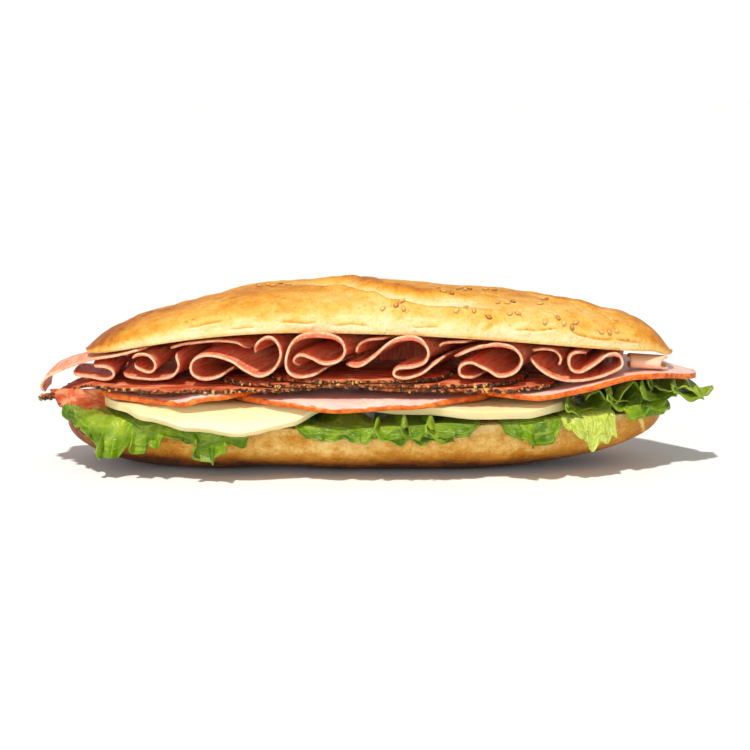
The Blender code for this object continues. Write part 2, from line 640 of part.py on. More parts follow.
crust_color = food_material("crust", (0.78, 0.46, 0.17), 0.55)
cheese_color = food_material("cheese", (0.93, 0.83, 0.52), 0.40)
smoked_ham_color = food_material("smoked_ham", (0.86, 0.36, 0.24), 0.40)
pastrami_color = food_material("pastrami", (0.38, 0.14, 0.08), 0.60)
cured_ham_color = food_material("cured_ham", (0.68, 0.22, 0.18), 0.40)
lettuce_color = food_material("lettuce", (0.30, 0.52, 0.06), 0.40)

roll_half("bun_bottom", BOTTOM_LEFT, BOTTOM_RIGHT, bottom_section, crust_color)
bun_top = roll_half("bun_top", TOP_LEFT, TOP_RIGHT, top_section, crust_color)
fuse_seeds(bun_top, crust_color)
build_lettuce(lettuce_color)
build_loose_leaves(lettuce_color)
build_cheese(cheese_color)
build_smoked_ham(smoked_ham_color)
build_pastrami(pastrami_color)
for fold_name in FOLDS:
    build_fold(fold_name, cured_ham_color)
build_end_roll(cured_ham_color)
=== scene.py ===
import math
import random

import bmesh
import bpy
import numpy as np
from mathutils import Matrix, Vector, noise


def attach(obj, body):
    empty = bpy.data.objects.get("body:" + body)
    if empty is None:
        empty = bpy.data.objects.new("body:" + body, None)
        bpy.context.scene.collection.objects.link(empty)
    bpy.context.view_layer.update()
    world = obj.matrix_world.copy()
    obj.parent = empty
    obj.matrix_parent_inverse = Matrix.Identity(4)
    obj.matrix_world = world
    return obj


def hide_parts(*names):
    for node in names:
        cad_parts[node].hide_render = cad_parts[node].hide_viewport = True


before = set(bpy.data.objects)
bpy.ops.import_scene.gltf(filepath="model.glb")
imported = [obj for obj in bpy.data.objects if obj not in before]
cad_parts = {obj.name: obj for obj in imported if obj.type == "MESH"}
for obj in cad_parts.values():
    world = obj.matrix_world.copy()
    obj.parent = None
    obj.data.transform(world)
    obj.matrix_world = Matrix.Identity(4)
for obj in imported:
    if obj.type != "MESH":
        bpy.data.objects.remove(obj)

scene = bpy.context.scene
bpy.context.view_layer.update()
print("frame loaded:", len(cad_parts), "nodes")

mm = 0.001


# small helpers

def ease(low, high, value):
    t = min(1.0, max(0.0, (value - low) / (high - low)))
    return t * t * (3.0 - 2.0 * t)


def hump(centre, halfWidth, value):
    t = min(1.0, abs(value - centre) / halfWidth)
    return (1.0 - t * t) ** 2


def through(points, value):  # smooth curve through (place, height) points
    if value <= points[0][0]:
        return points[0][1]
    for (low, start), (high, end) in zip(points, points[1:]):
        if value <= high:
            return start + (end - start) * ease(low, high, value)
    return points[-1][1]


def grainAt(x, y, z, size, seed=0.0):  # smooth noise whose lumps are about size metres wide
    return noise.noise(Vector((x / size + seed, y / size - seed, z / size + 2.0 * seed)))


def addPiece(name, shape, materials, node, smooth=True):
    mesh = bpy.data.meshes.new(name)
    shape.to_mesh(mesh)
    shape.free()
    piece = bpy.data.objects.new(name, mesh)
    scene.collection.objects.link(piece)
    for material in materials:
        mesh.materials.append(material)
    if smooth:
        mesh.shade_smooth()
    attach(piece, "root")
    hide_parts(node)
    return piece


# materials: each is built from the same few steps

class Finish:
    def __init__(self, name, roughness, gloss=0.5):
        self.material = bpy.data.materials.new(name)
        self.material.use_nodes = True
        self.nodes = self.material.node_tree.nodes
        self.links = self.material.node_tree.links
        self.shader = self.nodes["Principled BSDF"]
        self.shader.inputs["Roughness"].default_value = roughness
        self.shader.inputs["Specular IOR Level"].default_value = gloss
        self.where = self.nodes.new("ShaderNodeTexCoord").outputs["Object"]
        self.lastBump = None

    def link(self, source, target):
        self.links.new(source, target)

    def attribute(self, name):
        node = self.nodes.new("ShaderNodeAttribute")
        node.attribute_name = name
        return node.outputs["Fac"]

    def uv(self):
        node = self.nodes.new("ShaderNodeUVMap")
        node.uv_map = "slice"
        return node.outputs["UV"]

    def noiseMap(self, scale, detail=4.0, roughness=0.55, distortion=0.0, stretch=None, where=None):
        node = self.nodes.new("ShaderNodeTexNoise")
        node.inputs["Scale"].default_value = scale
        node.inputs["Detail"].default_value = detail
        node.inputs["Roughness"].default_value = roughness
        node.inputs["Distortion"].default_value = distortion
        source = where or self.where
        if stretch:
            mapping = self.nodes.new("ShaderNodeMapping")
            mapping.inputs["Scale"].default_value = stretch
            self.link(source, mapping.inputs["Vector"])
            source = mapping.outputs["Vector"]
        self.link(source, node.inputs["Vector"])
        return node.outputs["Fac"]

    def cells(self, scale, feature="F1", where=None):
        node = self.nodes.new("ShaderNodeTexVoronoi")
        node.feature = feature
        node.inputs["Scale"].default_value = scale
        self.link(where or self.where, node.inputs["Vector"])
        return node.outputs["Distance"]

    def math(self, operation, first, second, clamp=False):
        node = self.nodes.new("ShaderNodeMath")
        node.operation = operation
        node.use_clamp = clamp
        for socket, value in zip(node.inputs, (first, second)):
            if isinstance(value, (int, float)):
                socket.default_value = value
            else:
                self.link(value, socket)
        return node.outputs[0]

    def around(self, source, amount):  # a noise of 0 to 1 becomes a swing to both sides of 0
        return self.math("MULTIPLY", self.math("SUBTRACT", source, 0.5), amount)

    def ramp(self, source, stops):
        node = self.nodes.new("ShaderNodeValToRGB")
        while len(node.color_ramp.elements) < len(stops):
            node.color_ramp.elements.new(0.5)
        for element, (place, color) in zip(node.color_ramp.elements, stops):
            element.position = place
            element.color = (*color, 1.0) if isinstance(color, tuple) else (color, color, color, 1.0)
        self.link(source, node.inputs["Fac"])
        return node.outputs["Color"]

    def mix(self, factor, first, second):
        node = self.nodes.new("ShaderNodeMix")
        node.data_type = "RGBA"
        inputs = [node.inputs[0], node.inputs[6], node.inputs[7]]  # factor, then the two colours
        for socket, value in zip(inputs, (factor, first, second)):
            if isinstance(value, (int, float)):
                socket.default_value = value
            elif isinstance(value, tuple):
                socket.default_value = (*value, 1.0)
            else:
                self.link(value, socket)
        return node.outputs[2]

    def bump(self, height, strength, distance):
        node = self.nodes.new("ShaderNodeBump")
        node.inputs["Strength"].default_value = strength
        node.inputs["Distance"].default_value = distance
        self.link(height, node.inputs["Height"])
        if self.lastBump:
            self.link(self.lastBump, node.inputs["Normal"])
        self.lastBump = node.outputs["Normal"]
        self.link(self.lastBump, self.shader.inputs["Normal"])

    def color(self, source):
        self.link(source, self.shader.inputs["Base Color"])

    def glow(self, weight, radius, scale):  # light that travels inside the food
        self.shader.inputs["Subsurface Weight"].default_value = weight
        self.shader.inputs["Subsurface Radius"].default_value = radius
        self.shader.inputs["Subsurface Scale"].default_value = scale


def crustFinish(name, tones, gloss):
    f = Finish(name, 0.50, gloss)
    # bakeAndShade is the crust's own baking with painted shade and light added in the creases, puffs,
    # wrinkles and underside, and a painted shadow over the lower roll's left part
    bakeAndShade = f.attribute("bakeAndShade")
    patches = f.noiseMap(38.0, 5.0, 0.6)
    mottle = f.noiseMap(190.0, 4.0, 0.6)
    fine = f.noiseMap(900.0, 3.0, 0.6)
    level = f.math("ADD", bakeAndShade, f.around(patches, 0.80))
    level = f.math("ADD", level, f.around(mottle, 0.60))
    level = f.math("ADD", level, f.around(fine, 0.34), clamp=True)
    tone = f.ramp(level, list(zip((0.0, 0.22, 0.45, 0.68, 0.88, 1.0), tones)))
    specks = f.ramp(f.noiseMap(560.0, 2.0, 0.5), [(0.63, 0.0), (0.70, 1.0)])
    speckles = f.math("MULTIPLY", specks, f.math("MULTIPLY", bakeAndShade, 0.95), clamp=True)
    f.color(f.mix(speckles, tone, (0.40, 0.12, 0.015)))
    f.bump(f.noiseMap(150.0, 4.0, 0.6, 0.8), 0.70, 0.0016)
    f.bump(f.noiseMap(420.0, 5.0, 0.62), 0.80, 0.0011)
    f.bump(f.noiseMap(1500.0, 3.0, 0.6), 0.60, 0.0003)
    f.glow(0.05, (1.0, 0.45, 0.12), 0.0012)
    return f.material


def crumbFinish():
    f = Finish("crumb", 0.85, 0.15)
    pores = f.noiseMap(520.0, 5.0, 0.7)
    # the crumb is darker where its pores sink: partly the crumb's own tone, partly painted shade in the pores
    f.color(f.ramp(pores, [(0.25, (0.55, 0.30, 0.09)), (0.5, (0.80, 0.52, 0.22)),
                           (0.75, (0.90, 0.68, 0.36))]))
    f.bump(pores, 0.9, 0.0009)
    f.bump(f.cells(700.0), 0.5, 0.0005)
    f.glow(0.15, (1.0, 0.6, 0.35), 0.002)
    return f.material


def seedFinish():
    f = Finish("sesame", 0.38)
    tone = f.attribute("tone")
    f.color(f.ramp(tone, [(0.0, (0.82, 0.50, 0.15)), (0.55, (0.55, 0.24, 0.045)),
                          (1.0, (0.16, 0.05, 0.012))]))
    f.bump(f.noiseMap(2500.0, 2.0), 0.3, 0.0001)
    f.glow(0.15, (1.0, 0.6, 0.25), 0.0008)
    return f.material


def cheeseFinish():
    f = Finish("cheese", 0.38, 0.30)
    cloud = f.noiseMap(45.0, 3.0, 0.5)
    f.color(f.ramp(cloud, [(0.3, (0.84, 0.69, 0.32)), (0.7, (0.87, 0.76, 0.42))]))
    f.bump(f.noiseMap(90.0, 3.0, 0.5), 0.20, 0.0006)
    f.bump(f.noiseMap(900.0, 2.0, 0.5), 0.12, 0.0001)
    f.glow(0.30, (1.0, 0.70, 0.25), 0.003)
    return f.material


def smokedHamFinish():
    f = Finish("smoked_ham", 0.34, 0.28)
    rim = f.attribute("rim")
    muscle = f.noiseMap(60.0, 5.0, 0.6, 0.8, (0.7, 1.6, 1.0))
    fibre = f.noiseMap(420.0, 4.0, 0.6, 0.0, (0.5, 1.4, 1.0))
    face = f.ramp(muscle, [(0.30, (0.74, 0.36, 0.28)), (0.48, (0.88, 0.56, 0.46)),
                           (0.62, (0.90, 0.66, 0.56)), (0.80, (0.84, 0.46, 0.36))])
    face = f.mix(0.25, face, f.ramp(fibre, [(0.3, (0.72, 0.36, 0.28)), (0.7, (0.94, 0.76, 0.66))]))
    spice = f.noiseMap(330.0, 5.0, 0.65)
    rind = f.ramp(spice, [(0.30, (0.30, 0.030, 0.004)), (0.42, (0.68, 0.10, 0.008)),
                          (0.56, (0.84, 0.20, 0.016)), (0.72, (0.90, 0.36, 0.07))])
    wander = f.math("ADD", rim, f.around(f.noiseMap(300.0, 3.0), 0.9))
    f.color(f.mix(f.ramp(wander, [(0.24, 1.0), (0.46, 0.0)]), face, rind))
    f.bump(spice, 0.35, 0.0004)
    f.bump(fibre, 0.25, 0.0003)
    f.glow(0.30, (1.0, 0.35, 0.22), 0.002)
    return f.material


def pastramiFinish():
    f = Finish("pastrami", 0.70, 0.05)
    rim = f.attribute("rim")
    grain = f.noiseMap(180.0, 5.0, 0.65, 0.6, (0.6, 1.5, 1.0))
    face = f.ramp(grain, [(0.30, (0.34, 0.026, 0.008)), (0.48, (0.60, 0.12, 0.045)),
                          (0.62, (0.76, 0.30, 0.15)), (0.76, (0.88, 0.58, 0.38))])
    crumbs = f.noiseMap(520.0, 4.0, 0.7)
    crust = f.ramp(crumbs, [(0.36, (0.020, 0.009, 0.005)), (0.46, (0.16, 0.040, 0.010)),
                            (0.56, (0.46, 0.14, 0.040)), (0.68, (0.78, 0.42, 0.20))])
    wander = f.math("ADD", rim, f.around(f.noiseMap(500.0, 3.0), 1.2))
    f.color(f.mix(f.ramp(wander, [(0.12, 1.0), (0.40, 0.0)]), face, crust))
    f.bump(crumbs, 0.8, 0.0005)
    f.glow(0.12, (1.0, 0.25, 0.15), 0.001)
    return f.material


def curedHamFinish(name, fatness):
    f = Finish(name, 0.45, 0.12)
    rim = f.attribute("rim")
    uv = f.uv()
    streaks = f.noiseMap(1.0, 5.0, 0.6, 0.8, (0.80, 0.11, 1.0), uv)
    marbling = f.noiseMap(1.0, 4.0, 0.6, 1.2, (0.34, 0.12, 1.0), uv)
    lean = f.ramp(streaks, [(0.28, (0.75, 0.085, 0.034)), (0.44, (0.87, 0.20, 0.090)),
                            (0.58, (0.91, 0.34, 0.18)), (0.72, (0.93, 0.50, 0.31))])
    fat = f.ramp(marbling, [(0.54, fatness), (0.70, 0.50 + 0.5 * fatness)])
    body = f.mix(fat, lean, (0.95, 0.66, 0.47))
    wander = f.math("ADD", rim, f.around(f.noiseMap(330.0, 4.0), 0.24))
    edge = f.ramp(wander, [(0.0, 0.95), (0.05, 0.80), (0.11, 0.28), (0.34, 0.0)])
    rimFat = f.ramp(f.noiseMap(620.0, 3.0), [(0.35, (0.80, 0.34, 0.18)), (0.60, (0.91, 0.61, 0.39))])
    f.color(f.mix(edge, body, rimFat))
    f.bump(streaks, 0.45, 0.0005)
    f.bump(f.noiseMap(800.0, 3.0), 0.20, 0.0001)
    f.glow(0.32, (1.0, 0.18, 0.08), 0.0026)
    return f.material


def lettuceFinish():
    f = Finish("lettuce", 0.28, 0.25)
    uv = f.uv()
    pale = f.attribute("pale")
    bend = f.nodes.new("ShaderNodeVectorMath")
    bend.operation = "ADD"
    wobble = f.nodes.new("ShaderNodeTexNoise")
    wobble.inputs["Scale"].default_value = 0.25
    wobble.inputs["Detail"].default_value = 3.0
    f.link(uv, wobble.inputs["Vector"])
    f.link(uv, bend.inputs[0])
    f.link(wobble.outputs["Color"], bend.inputs[1])
    ribs = f.cells(0.075, "DISTANCE_TO_EDGE", bend.outputs[0])
    ribs = f.ramp(ribs, [(0.0, 1.0), (0.035, 0.45), (0.09, 0.0)])
    veins = f.ramp(f.cells(0.24, "DISTANCE_TO_EDGE", bend.outputs[0]), [(0.0, 1.0), (0.12, 0.0)])
    tone = f.noiseMap(75.0, 5.0, 0.6)
    leaf = f.ramp(tone, [(0.28, (0.026, 0.080, 0.001)), (0.44, (0.080, 0.180, 0.001)),
                         (0.58, (0.17, 0.30, 0.002)), (0.74, (0.36, 0.46, 0.006))])
    fibres = f.noiseMap(1.0, 4.0, 0.6, 0.6, (1.10, 0.09, 1.0), uv)
    leaf = f.mix(pale, leaf, f.ramp(fibres, [(0.34, (0.40, 0.52, 0.04)), (0.50, (0.62, 0.68, 0.10)),
                                             (0.64, (0.80, 0.82, 0.30))]))
    leaf = f.mix(f.math("MULTIPLY", veins, 0.10), leaf, (0.42, 0.54, 0.03))
    f.color(f.mix(f.math("MULTIPLY", ribs, 0.38), leaf, (0.52, 0.62, 0.08)))
    f.bump(ribs, 0.60, 0.0006)
    f.bump(veins, 0.40, 0.0003)
    f.bump(f.noiseMap(170.0, 4.0, 0.6), 0.80, 0.0010)
    f.glow(0.16, (0.45, 1.0, 0.04), 0.0012)
    return f.material


def grainFinish(name, dark, light):
    f = Finish(name, 0.50, 0.30)
    f.color(f.ramp(f.attribute("tone"), [(0.0, dark), (1.0, light)]))
    f.bump(f.noiseMap(2600.0, 3.0), 0.5, 0.0002)
    return f.material


# crust colours from hardly baked to the darkest brown; the darker ones also serve painted shade
topTones = [(0.92, 0.75, 0.42), (0.90, 0.65, 0.26), (0.88, 0.49, 0.095), (0.77, 0.31, 0.020),
            (0.58, 0.19, 0.012), (0.38, 0.10, 0.007)]
bottomTones = [(0.91, 0.73, 0.35), (0.82, 0.54, 0.16), (0.60, 0.27, 0.028), (0.42, 0.145, 0.009),
               (0.22, 0.060, 0.003), (0.09, 0.024, 0.002)]

finishes = {
    "crustTop": crustFinish("crust_top", topTones, 0.26),
    "crustBottom": crustFinish("crust_bottom", bottomTones, 0.16),
    "crumb": crumbFinish(), "seed": seedFinish(), "cheese": cheeseFinish(), "smokedHam": smokedHamFinish(),
    "pastrami": pastramiFinish(), "curedHam": curedHamFinish("cured_ham", 0.0),
    # the last cured ham finish is a paler, fattier copy: painted light for the end roll
    "curedFlap": curedHamFinish("cured_ham_flap", 0.12), "curedPaintedLight": curedHamFinish("cured_ham_painted_light", 0.80),
    "lettuce": lettuceFinish(),
    "pepper": grainFinish("pepper", (0.010, 0.007, 0.005), (0.10, 0.045, 0.020)),
    "spice": grainFinish("spice", (0.30, 0.10, 0.02), (0.80, 0.48, 0.14)),
}
print("finishes made")


# the roll

roll = {
    "bottomLeft": -0.1290, "bottomRight": 0.1200, "topLeft": -0.1210, "topRight": 0.1245, "halfWidth": 0.0420,
    "rim": 0.0215, "bulge": 0.0020, "flatDepth": 0.0012, "cutPeak": 0.0603, "cutPeakX": -0.0300,
    "crown": 0.0766, "cutSag": 0.0026,
    "slashDepth": 1.60,  # the slashes show a little deeper than the solid's few facets can hold
    # where the crown swells or sinks: middle, half width, height
    "swells": [(-0.119, 0.014, 0.0020), (-0.083, 0.028, -0.0011), (-0.048, 0.022, 0.0010),
               (0.036, 0.048, -0.0014), (0.066, 0.016, -0.0006), (0.112, 0.020, 0.0025)],
    "around": 208, "faceShare": 48, "alongSteps": 380,
}


def along(x, left, right):
    return max(-1.0, min(1.0, (2.0 * x - left - right) / (right - left)))


def planHalfWidth(u):
    return roll["halfWidth"] * (1.0 - abs(u) ** 3.2) ** 0.5


def bottomHalfWidth(x):
    return planHalfWidth(along(x, roll["bottomLeft"], roll["bottomRight"]))


def topHalfWidth(x):
    return planHalfWidth(along(x, roll["topLeft"], roll["topRight"]))


def bottomRim(x):
    away = x + 0.020
    return roll["rim"] + (0.33 if away > 0.0 else 0.20) * away * away


def bottomKeel(x):
    rightLift = 0.0080 * max(0.0, (x - 0.035) / 0.085) ** 1.4
    leftLift = 0.0030 * max(0.0, (-x - 0.095) / 0.034) ** 2
    return rightLift + leftLift + 0.0016 * hump(-0.040, 0.026, x)


def topCut(x):
    away = x - roll["cutPeakX"]
    fall = 0.52 if away > 0.0 else 1.75
    return roll["cutPeak"] - fall * away * away - 0.0030 * ease(0.112, 0.1245, x)


def cutSag(x, depth):
    inside = 1.0 - min(1.0, depth * depth)
    return roll["cutSag"] * inside * inside * topHalfWidth(x) / roll["halfWidth"]


def topHeight(x):
    u = along(x, roll["topLeft"], roll["topRight"])
    crown = 0.045 + (roll["crown"] - 0.045) * (1.0 - abs(u) ** 2.2) ** 0.58
    swell = sum(height * hump(middle, halfWidth, x) for middle, halfWidth, height in roll["swells"])
    return max(0.002, crown + swell - topCut(x))


# the two slashes over the crown: line is the near lip, across is 0 at the front rim and 1 at the back
slashes = [
    {"line": [(-0.032, 0.48), (-0.016, 0.44), (-0.0015, 0.33), (0.0074, 0.26), (0.019, 0.222),
              (0.040, 0.237)],
     "middle": 0.006, "length": 0.046, "depth": 0.0024, "width": 0.075},
    {"line": [(0.066, 0.48), (0.080, 0.44), (0.096, 0.42)],
     "middle": 0.083, "length": 0.020, "depth": 0.0013, "width": 0.050},
]


def slashShape(x, across):  # relief, how pale, how brown
    relief, pale, brown = 0.0, 0.0, 0.0
    for slash in slashes:
        side = (across - through(slash["line"], x)) / slash["width"]
        reach = hump(slash["middle"], slash["length"], x) ** 0.6
        crackle = 0.16 * noise.noise(Vector((x * 420.0, across * 90.0, 0.0))) * hump(0.9, 1.1, side)
        relief += reach * slash["depth"] * (0.42 * hump(-0.22, 0.55, side) - hump(0.95, 1.05, side)
                                            + 0.30 * hump(2.3, 0.8, side) + crackle)
        pale += reach * hump(0.95, 1.10, side)
        brown += reach * (0.9 * hump(-0.10, 0.30, side) + 1.2 * hump(2.2, 0.80, side))
    return relief, pale, brown


# creases above the cut edge: from x to x, and how far across they start and end
creases = [(-0.0760, -0.0600, 0.118, 0.130), (-0.0590, -0.0470, 0.058, 0.050),
           (-0.0390, -0.0220, 0.078, 0.072), (-0.0180, -0.0020, 0.060, 0.048),
           (0.0130, 0.0260, 0.050, 0.062), (0.0545, 0.0660, 0.088, 0.094),
           (0.0640, 0.0740, 0.094, 0.128), (0.0770, 0.0870, 0.108, 0.080),
           (0.0850, 0.0970, 0.080, 0.100), (0.0960, 0.1090, 0.106, 0.084)]
# the one crease that runs down towards the cut edge
tuck = {"x": 0.0450, "across": 0.085, "halfHeight": 0.060}


def blisters(x, across):  # how deep the creases are here, and how puffed the crust is between them
    crease, puff = 0.0, 0.0
    wander = 0.012 * noise.noise(Vector((x * 160.0, 3.1, 0.0)))
    wander += 0.010 * noise.noise(Vector((x * 60.0, 7.7, 0.0)))
    for left, right, start, end in creases:
        inside = ease(left, left + 0.003, x) * ease(right, right - 0.003, x)
        if inside > 0.0:
            line = start + (end - start) * (x - left) / (right - left) + wander
            crease = max(crease, inside * hump(line, 0.018, across))
            below = hump(line - 0.032, 0.030, across)
            above = hump(line + 0.040, 0.038, across)
            puff = max(puff, inside * below, 0.7 * inside * above)
    down = hump(tuck["across"], tuck["halfHeight"], across)
    crease = max(crease, down * hump(tuck["x"] + 0.05 * (across - tuck["across"]), 0.0022, x))
    return crease, max(puff, down * hump(tuck["x"] + 0.0055, 0.0055, x))


def topSection(x, u, crust, face):
    width, cut = topHalfWidth(x), topCut(x)
    plump = (1.0 - abs(u) ** 14) ** 0.5
    pole = cut + 0.003
    if crust is None:
        y = width * (2.0 * face - 1.0)
        crater = 0.0003 * grainAt(x, y, 0.0, 0.0022) * hump(0.5, 0.49, face)
        return y, pole + (cut - cutSag(x, 2.0 * face - 1.0) + crater - pole) * plump, 0.0
    angle = math.pi * crust
    bulge = 0.0016 * math.sin(2.0 * min(angle, math.pi - angle)) ** 2
    y = math.copysign(width * abs(math.cos(angle)) ** 0.62 + bulge * plump, math.cos(angle))
    z = cut + topHeight(x) * math.sin(angle) ** 0.80
    across = 1.0 - crust
    arch = math.sin(angle)
    lump = (0.0009 * grainAt(x, y, z, 0.028, 1.0) + 0.00060 * grainAt(x, y, z, 0.009, 2.0)
            + 0.00028 * grainAt(x, y, z, 0.0034, 3.0)) * arch ** 0.5
    relief, pale, brown = slashShape(x, across)
    crease, puff = blisters(x, across)
    lump += (relief * roll["slashDepth"] - 0.0008 * crease + 0.0006 * puff) * plump
    settle = 0.0013 * ease(0.42, 0.72, across) * arch
    z = pole + (z - pole) * plump + (lump - settle) * (0.35 + 0.65 * arch)
    y += math.copysign(lump * 0.8 * (1.0 - arch), y)
    band = ease(0.015, 0.17, across) * ease(0.015, 0.15, 1.0 - across)
    ends = ease(0.72, 0.98, abs(u))
    bakeAndShade = 0.06 + 0.40 * band + 0.18 * ease(0.25, 0.5, across) * ease(0.25, 0.5, 1.0 - across)
    # darker in the creases is painted shade and paler on the puffs between them is painted light; the ends,
    # slashes and the rest are the crust's own baking
    bakeAndShade += 0.32 * ends - 0.62 * pale + 0.26 * brown + 0.34 * crease - 0.10 * puff
    bakeAndShade += 0.14 * ease(0.0, -0.09, x) * band + 0.40 * ease(0.020, 0.0, min(across, 1.0 - across))
    return y, z, max(0.0, min(1.0, bakeAndShade))


def bottomSection(x, u, crust, face):
    width, rim = bottomHalfWidth(x), bottomRim(x)
    plump = (1.0 - abs(u) ** 5) ** 0.5
    pole = rim - 0.006
    if crust is None:
        y = width * (2.0 * face - 1.0)
        sunk = 0.0010 * hump(0.5, 0.45, face)
        return y, pole + (rim - sunk - pole) * plump, 0.0
    angle = math.pi * crust
    bulge = roll["bulge"] * math.sin(2.0 * min(angle, math.pi - angle))
    y = math.copysign(width * abs(math.cos(angle)) ** 0.95 + bulge * plump, math.cos(angle))
    low = rim - (rim + roll["flatDepth"] - bottomKeel(x)) * math.sin(angle)
    side = 1.0 - abs(2.0 * crust - 1.0)
    lump = 0.0006 * grainAt(x, y, low, 0.022, 4.0) + 0.0003 * grainAt(x, y, low, 0.007, 5.0)
    lump *= math.sin(angle) ** 0.5
    z = max(bottomKeel(x), pole + (low - pole) * plump)
    score = hump(0.0, 0.0016, x - 0.1085 - 0.35 * (0.024 - z)) * ease(0.003, 0.010, z) * ease(0.030, 0.020, z)
    wrinkle = hump(0.010, 0.075, x) * hump(0.016, 0.009, z) * noise.noise(Vector((x * 260.0, z * 420.0, 2.0)))
    y += math.copysign(lump + 0.0006 * score + 0.0004 * wrinkle, y)
    ends = ease(0.80, 1.0, abs(u))
    # darker towards the underside: partly the roll's deeper baked base, partly painted shade
    under = ease(0.013, 0.0005, z)
    rightSide = ease(0.070, 0.112, x) * ease(0.026, 0.008, z)
    # the left part of the lower roll is darker and keeps no pale band: painted shadow of the cheese and
    # lettuce that hang over it
    leftPaintedShadow = ease(-0.040, -0.080, x)
    bakeAndShade = 0.30 + 0.78 * under + 0.30 * ends + 0.34 * rightSide + 0.26 * leftPaintedShadow
    # paler where the wrinkles stand out and darker where they sink is painted light and shade
    bakeAndShade -= 0.20 * ease(0.13, 0.02, side) * (1.0 - ends) * (1.0 - leftPaintedShadow) + 0.36 * score + 0.10 * wrinkle
    return y, z, max(0.0, min(1.0, bakeAndShade))


def buildRoll(name, node, left, right, section, crustFinishes):
    shape = bmesh.new()
    bmesh.ops.create_uvsphere(shape, u_segments=roll["around"], v_segments=roll["alongSteps"], radius=1.0)
    bakeAndShadeLayer = shape.verts.layers.float.new("bakeAndShade")
    middle, halfLength = (left + right) / 2.0, (right - left) / 2.0
    onFace = {}
    for vert in shape.verts:
        u = max(-1.0, min(1.0, vert.co.z))
        turn = (math.atan2(vert.co.y, vert.co.x) / (2.0 * math.pi)) % 1.0
        step = round(turn * roll["around"]) % roll["around"]
        x = middle + halfLength * math.copysign(abs(u) ** 0.96, u)
        if step < roll["faceShare"]:
            y, z, bakeAndShade = section(x, u, None, step / roll["faceShare"])
        else:
            crust = (step - roll["faceShare"]) / (roll["around"] - roll["faceShare"])
            y, z, bakeAndShade = section(x, u, crust, None)
        onFace[vert] = 0 < step < roll["faceShare"]
        vert.co = (x, y, z)
        vert[bakeAndShadeLayer] = bakeAndShade
    for face in shape.faces:
        face.material_index = 1 if any(onFace[vert] for vert in face.verts) and len(face.verts) == 4 else 0
    bmesh.ops.recalc_face_normals(shape, faces=shape.faces)
    addPiece(name, shape, crustFinishes, node)


buildRoll("roll_top", "bun_top", roll["topLeft"], roll["topRight"], topSection,
          [finishes["crustTop"], finishes["crumb"]])
buildRoll("roll_bottom", "bun_bottom", roll["bottomLeft"], roll["bottomRight"], bottomSection,
          [finishes["crustBottom"], finishes["crumb"]])
print("roll halves made")


# sesame seeds on the crown

seeds = {
    "length": 0.0031, "width": 0.0019, "height": 0.0010,
    # clusters: middle x, middle across, spread in x, spread across, count
    "clusters": [(-0.038, 0.50, 0.012, 0.018, 6), (0.0075, 0.215, 0.006, 0.045, 4),
                 (0.033, 0.475, 0.009, 0.015, 5), (0.029, 0.389, 0.003, 0.010, 2),
                 (0.0360, 0.235, 0.005, 0.060, 3), (0.048, 0.485, 0.004, 0.012, 2),
                 (0.052, 0.345, 0.004, 0.014, 3), (0.0555, 0.225, 0.003, 0.045, 2),
                 (0.046, 0.168, 0.002, 0.006, 1), (0.067, 0.39, 0.004, 0.100, 3),
                 (0.072, 0.180, 0.004, 0.040, 3), (0.0790, 0.180, 0.002, 0.040, 2),
                 (0.094, 0.168, 0.005, 0.024, 4), (0.0964, 0.316, 0.002, 0.010, 1)],
    "spacing": 0.9, "lift": 0.0003, "tries": 400,
}


def crustPoint(x, across):
    section = topSection(x, along(x, roll["topLeft"], roll["topRight"]), 1.0 - across, None)
    return Vector((x, *section[:2]))


def joinShapes(target, layer, tone, maker, matrix, shadeTone=0.0):  # adds one small shape, moved by a matrix
    made = maker(target)
    top = max(vert.co.z for vert in made)
    for vert in made:
        # each seed darkens from its top down to its edge and underside: painted shade
        vert[layer] = tone + shadeTone * (1.0 - max(0.0, vert.co.z) / top)
        vert.co = matrix @ vert.co


def buildSeeds():
    draw = random.Random(7)
    shape = bmesh.new()
    toneLayer = shape.verts.layers.float.new("tone")
    placed = []

    def seedShape(target):
        made = bmesh.ops.create_uvsphere(target, u_segments=12, v_segments=8, radius=0.5)["verts"]
        for vert in made:
            narrow = 1.0 - 0.45 * max(0.0, vert.co.x * 2.0)
            across = seeds["width"] * narrow
            vert.co = (vert.co.x * seeds["length"], vert.co.y * across, vert.co.z * seeds["height"])
        return made

    for middle, across, spreadX, spreadAcross, count in seeds["clusters"]:
        for attempt in range(seeds["tries"]):
            if count == 0:
                break
            x = middle + draw.uniform(-1.0, 1.0) * spreadX
            share = across + draw.uniform(-1.0, 1.0) * spreadAcross
            turn = draw.uniform(0.0, math.pi)
            point = crustPoint(x, share)
            if any((point - other).length < seeds["spacing"] * seeds["length"] for other in placed):
                continue
            stepX = crustPoint(x + 0.001, share) - crustPoint(x - 0.001, share)
            stepRound = crustPoint(x, share + 0.01) - crustPoint(x, share - 0.01)
            normal = stepX.cross(stepRound).normalized()
            normal = -normal if normal.z < 0.0 else normal
            lie = normal.to_track_quat("Z", "Y").to_matrix().to_4x4()
            matrix = Matrix.Translation(point + normal * seeds["lift"]) @ lie @ Matrix.Rotation(turn, 4, "Z")
            tone = 0.55 * ((len(placed) * 0.37) % 1.0) ** 2
            joinShapes(shape, toneLayer, tone, seedShape, matrix, 0.55)
            placed.append(point)
            count -= 1
    addPiece("sesame_seeds", shape, [finishes["seed"]], "bun_top")


buildSeeds()
print("seeds made")


# slices that lie flat: each is a grid that is put in place, then thickened

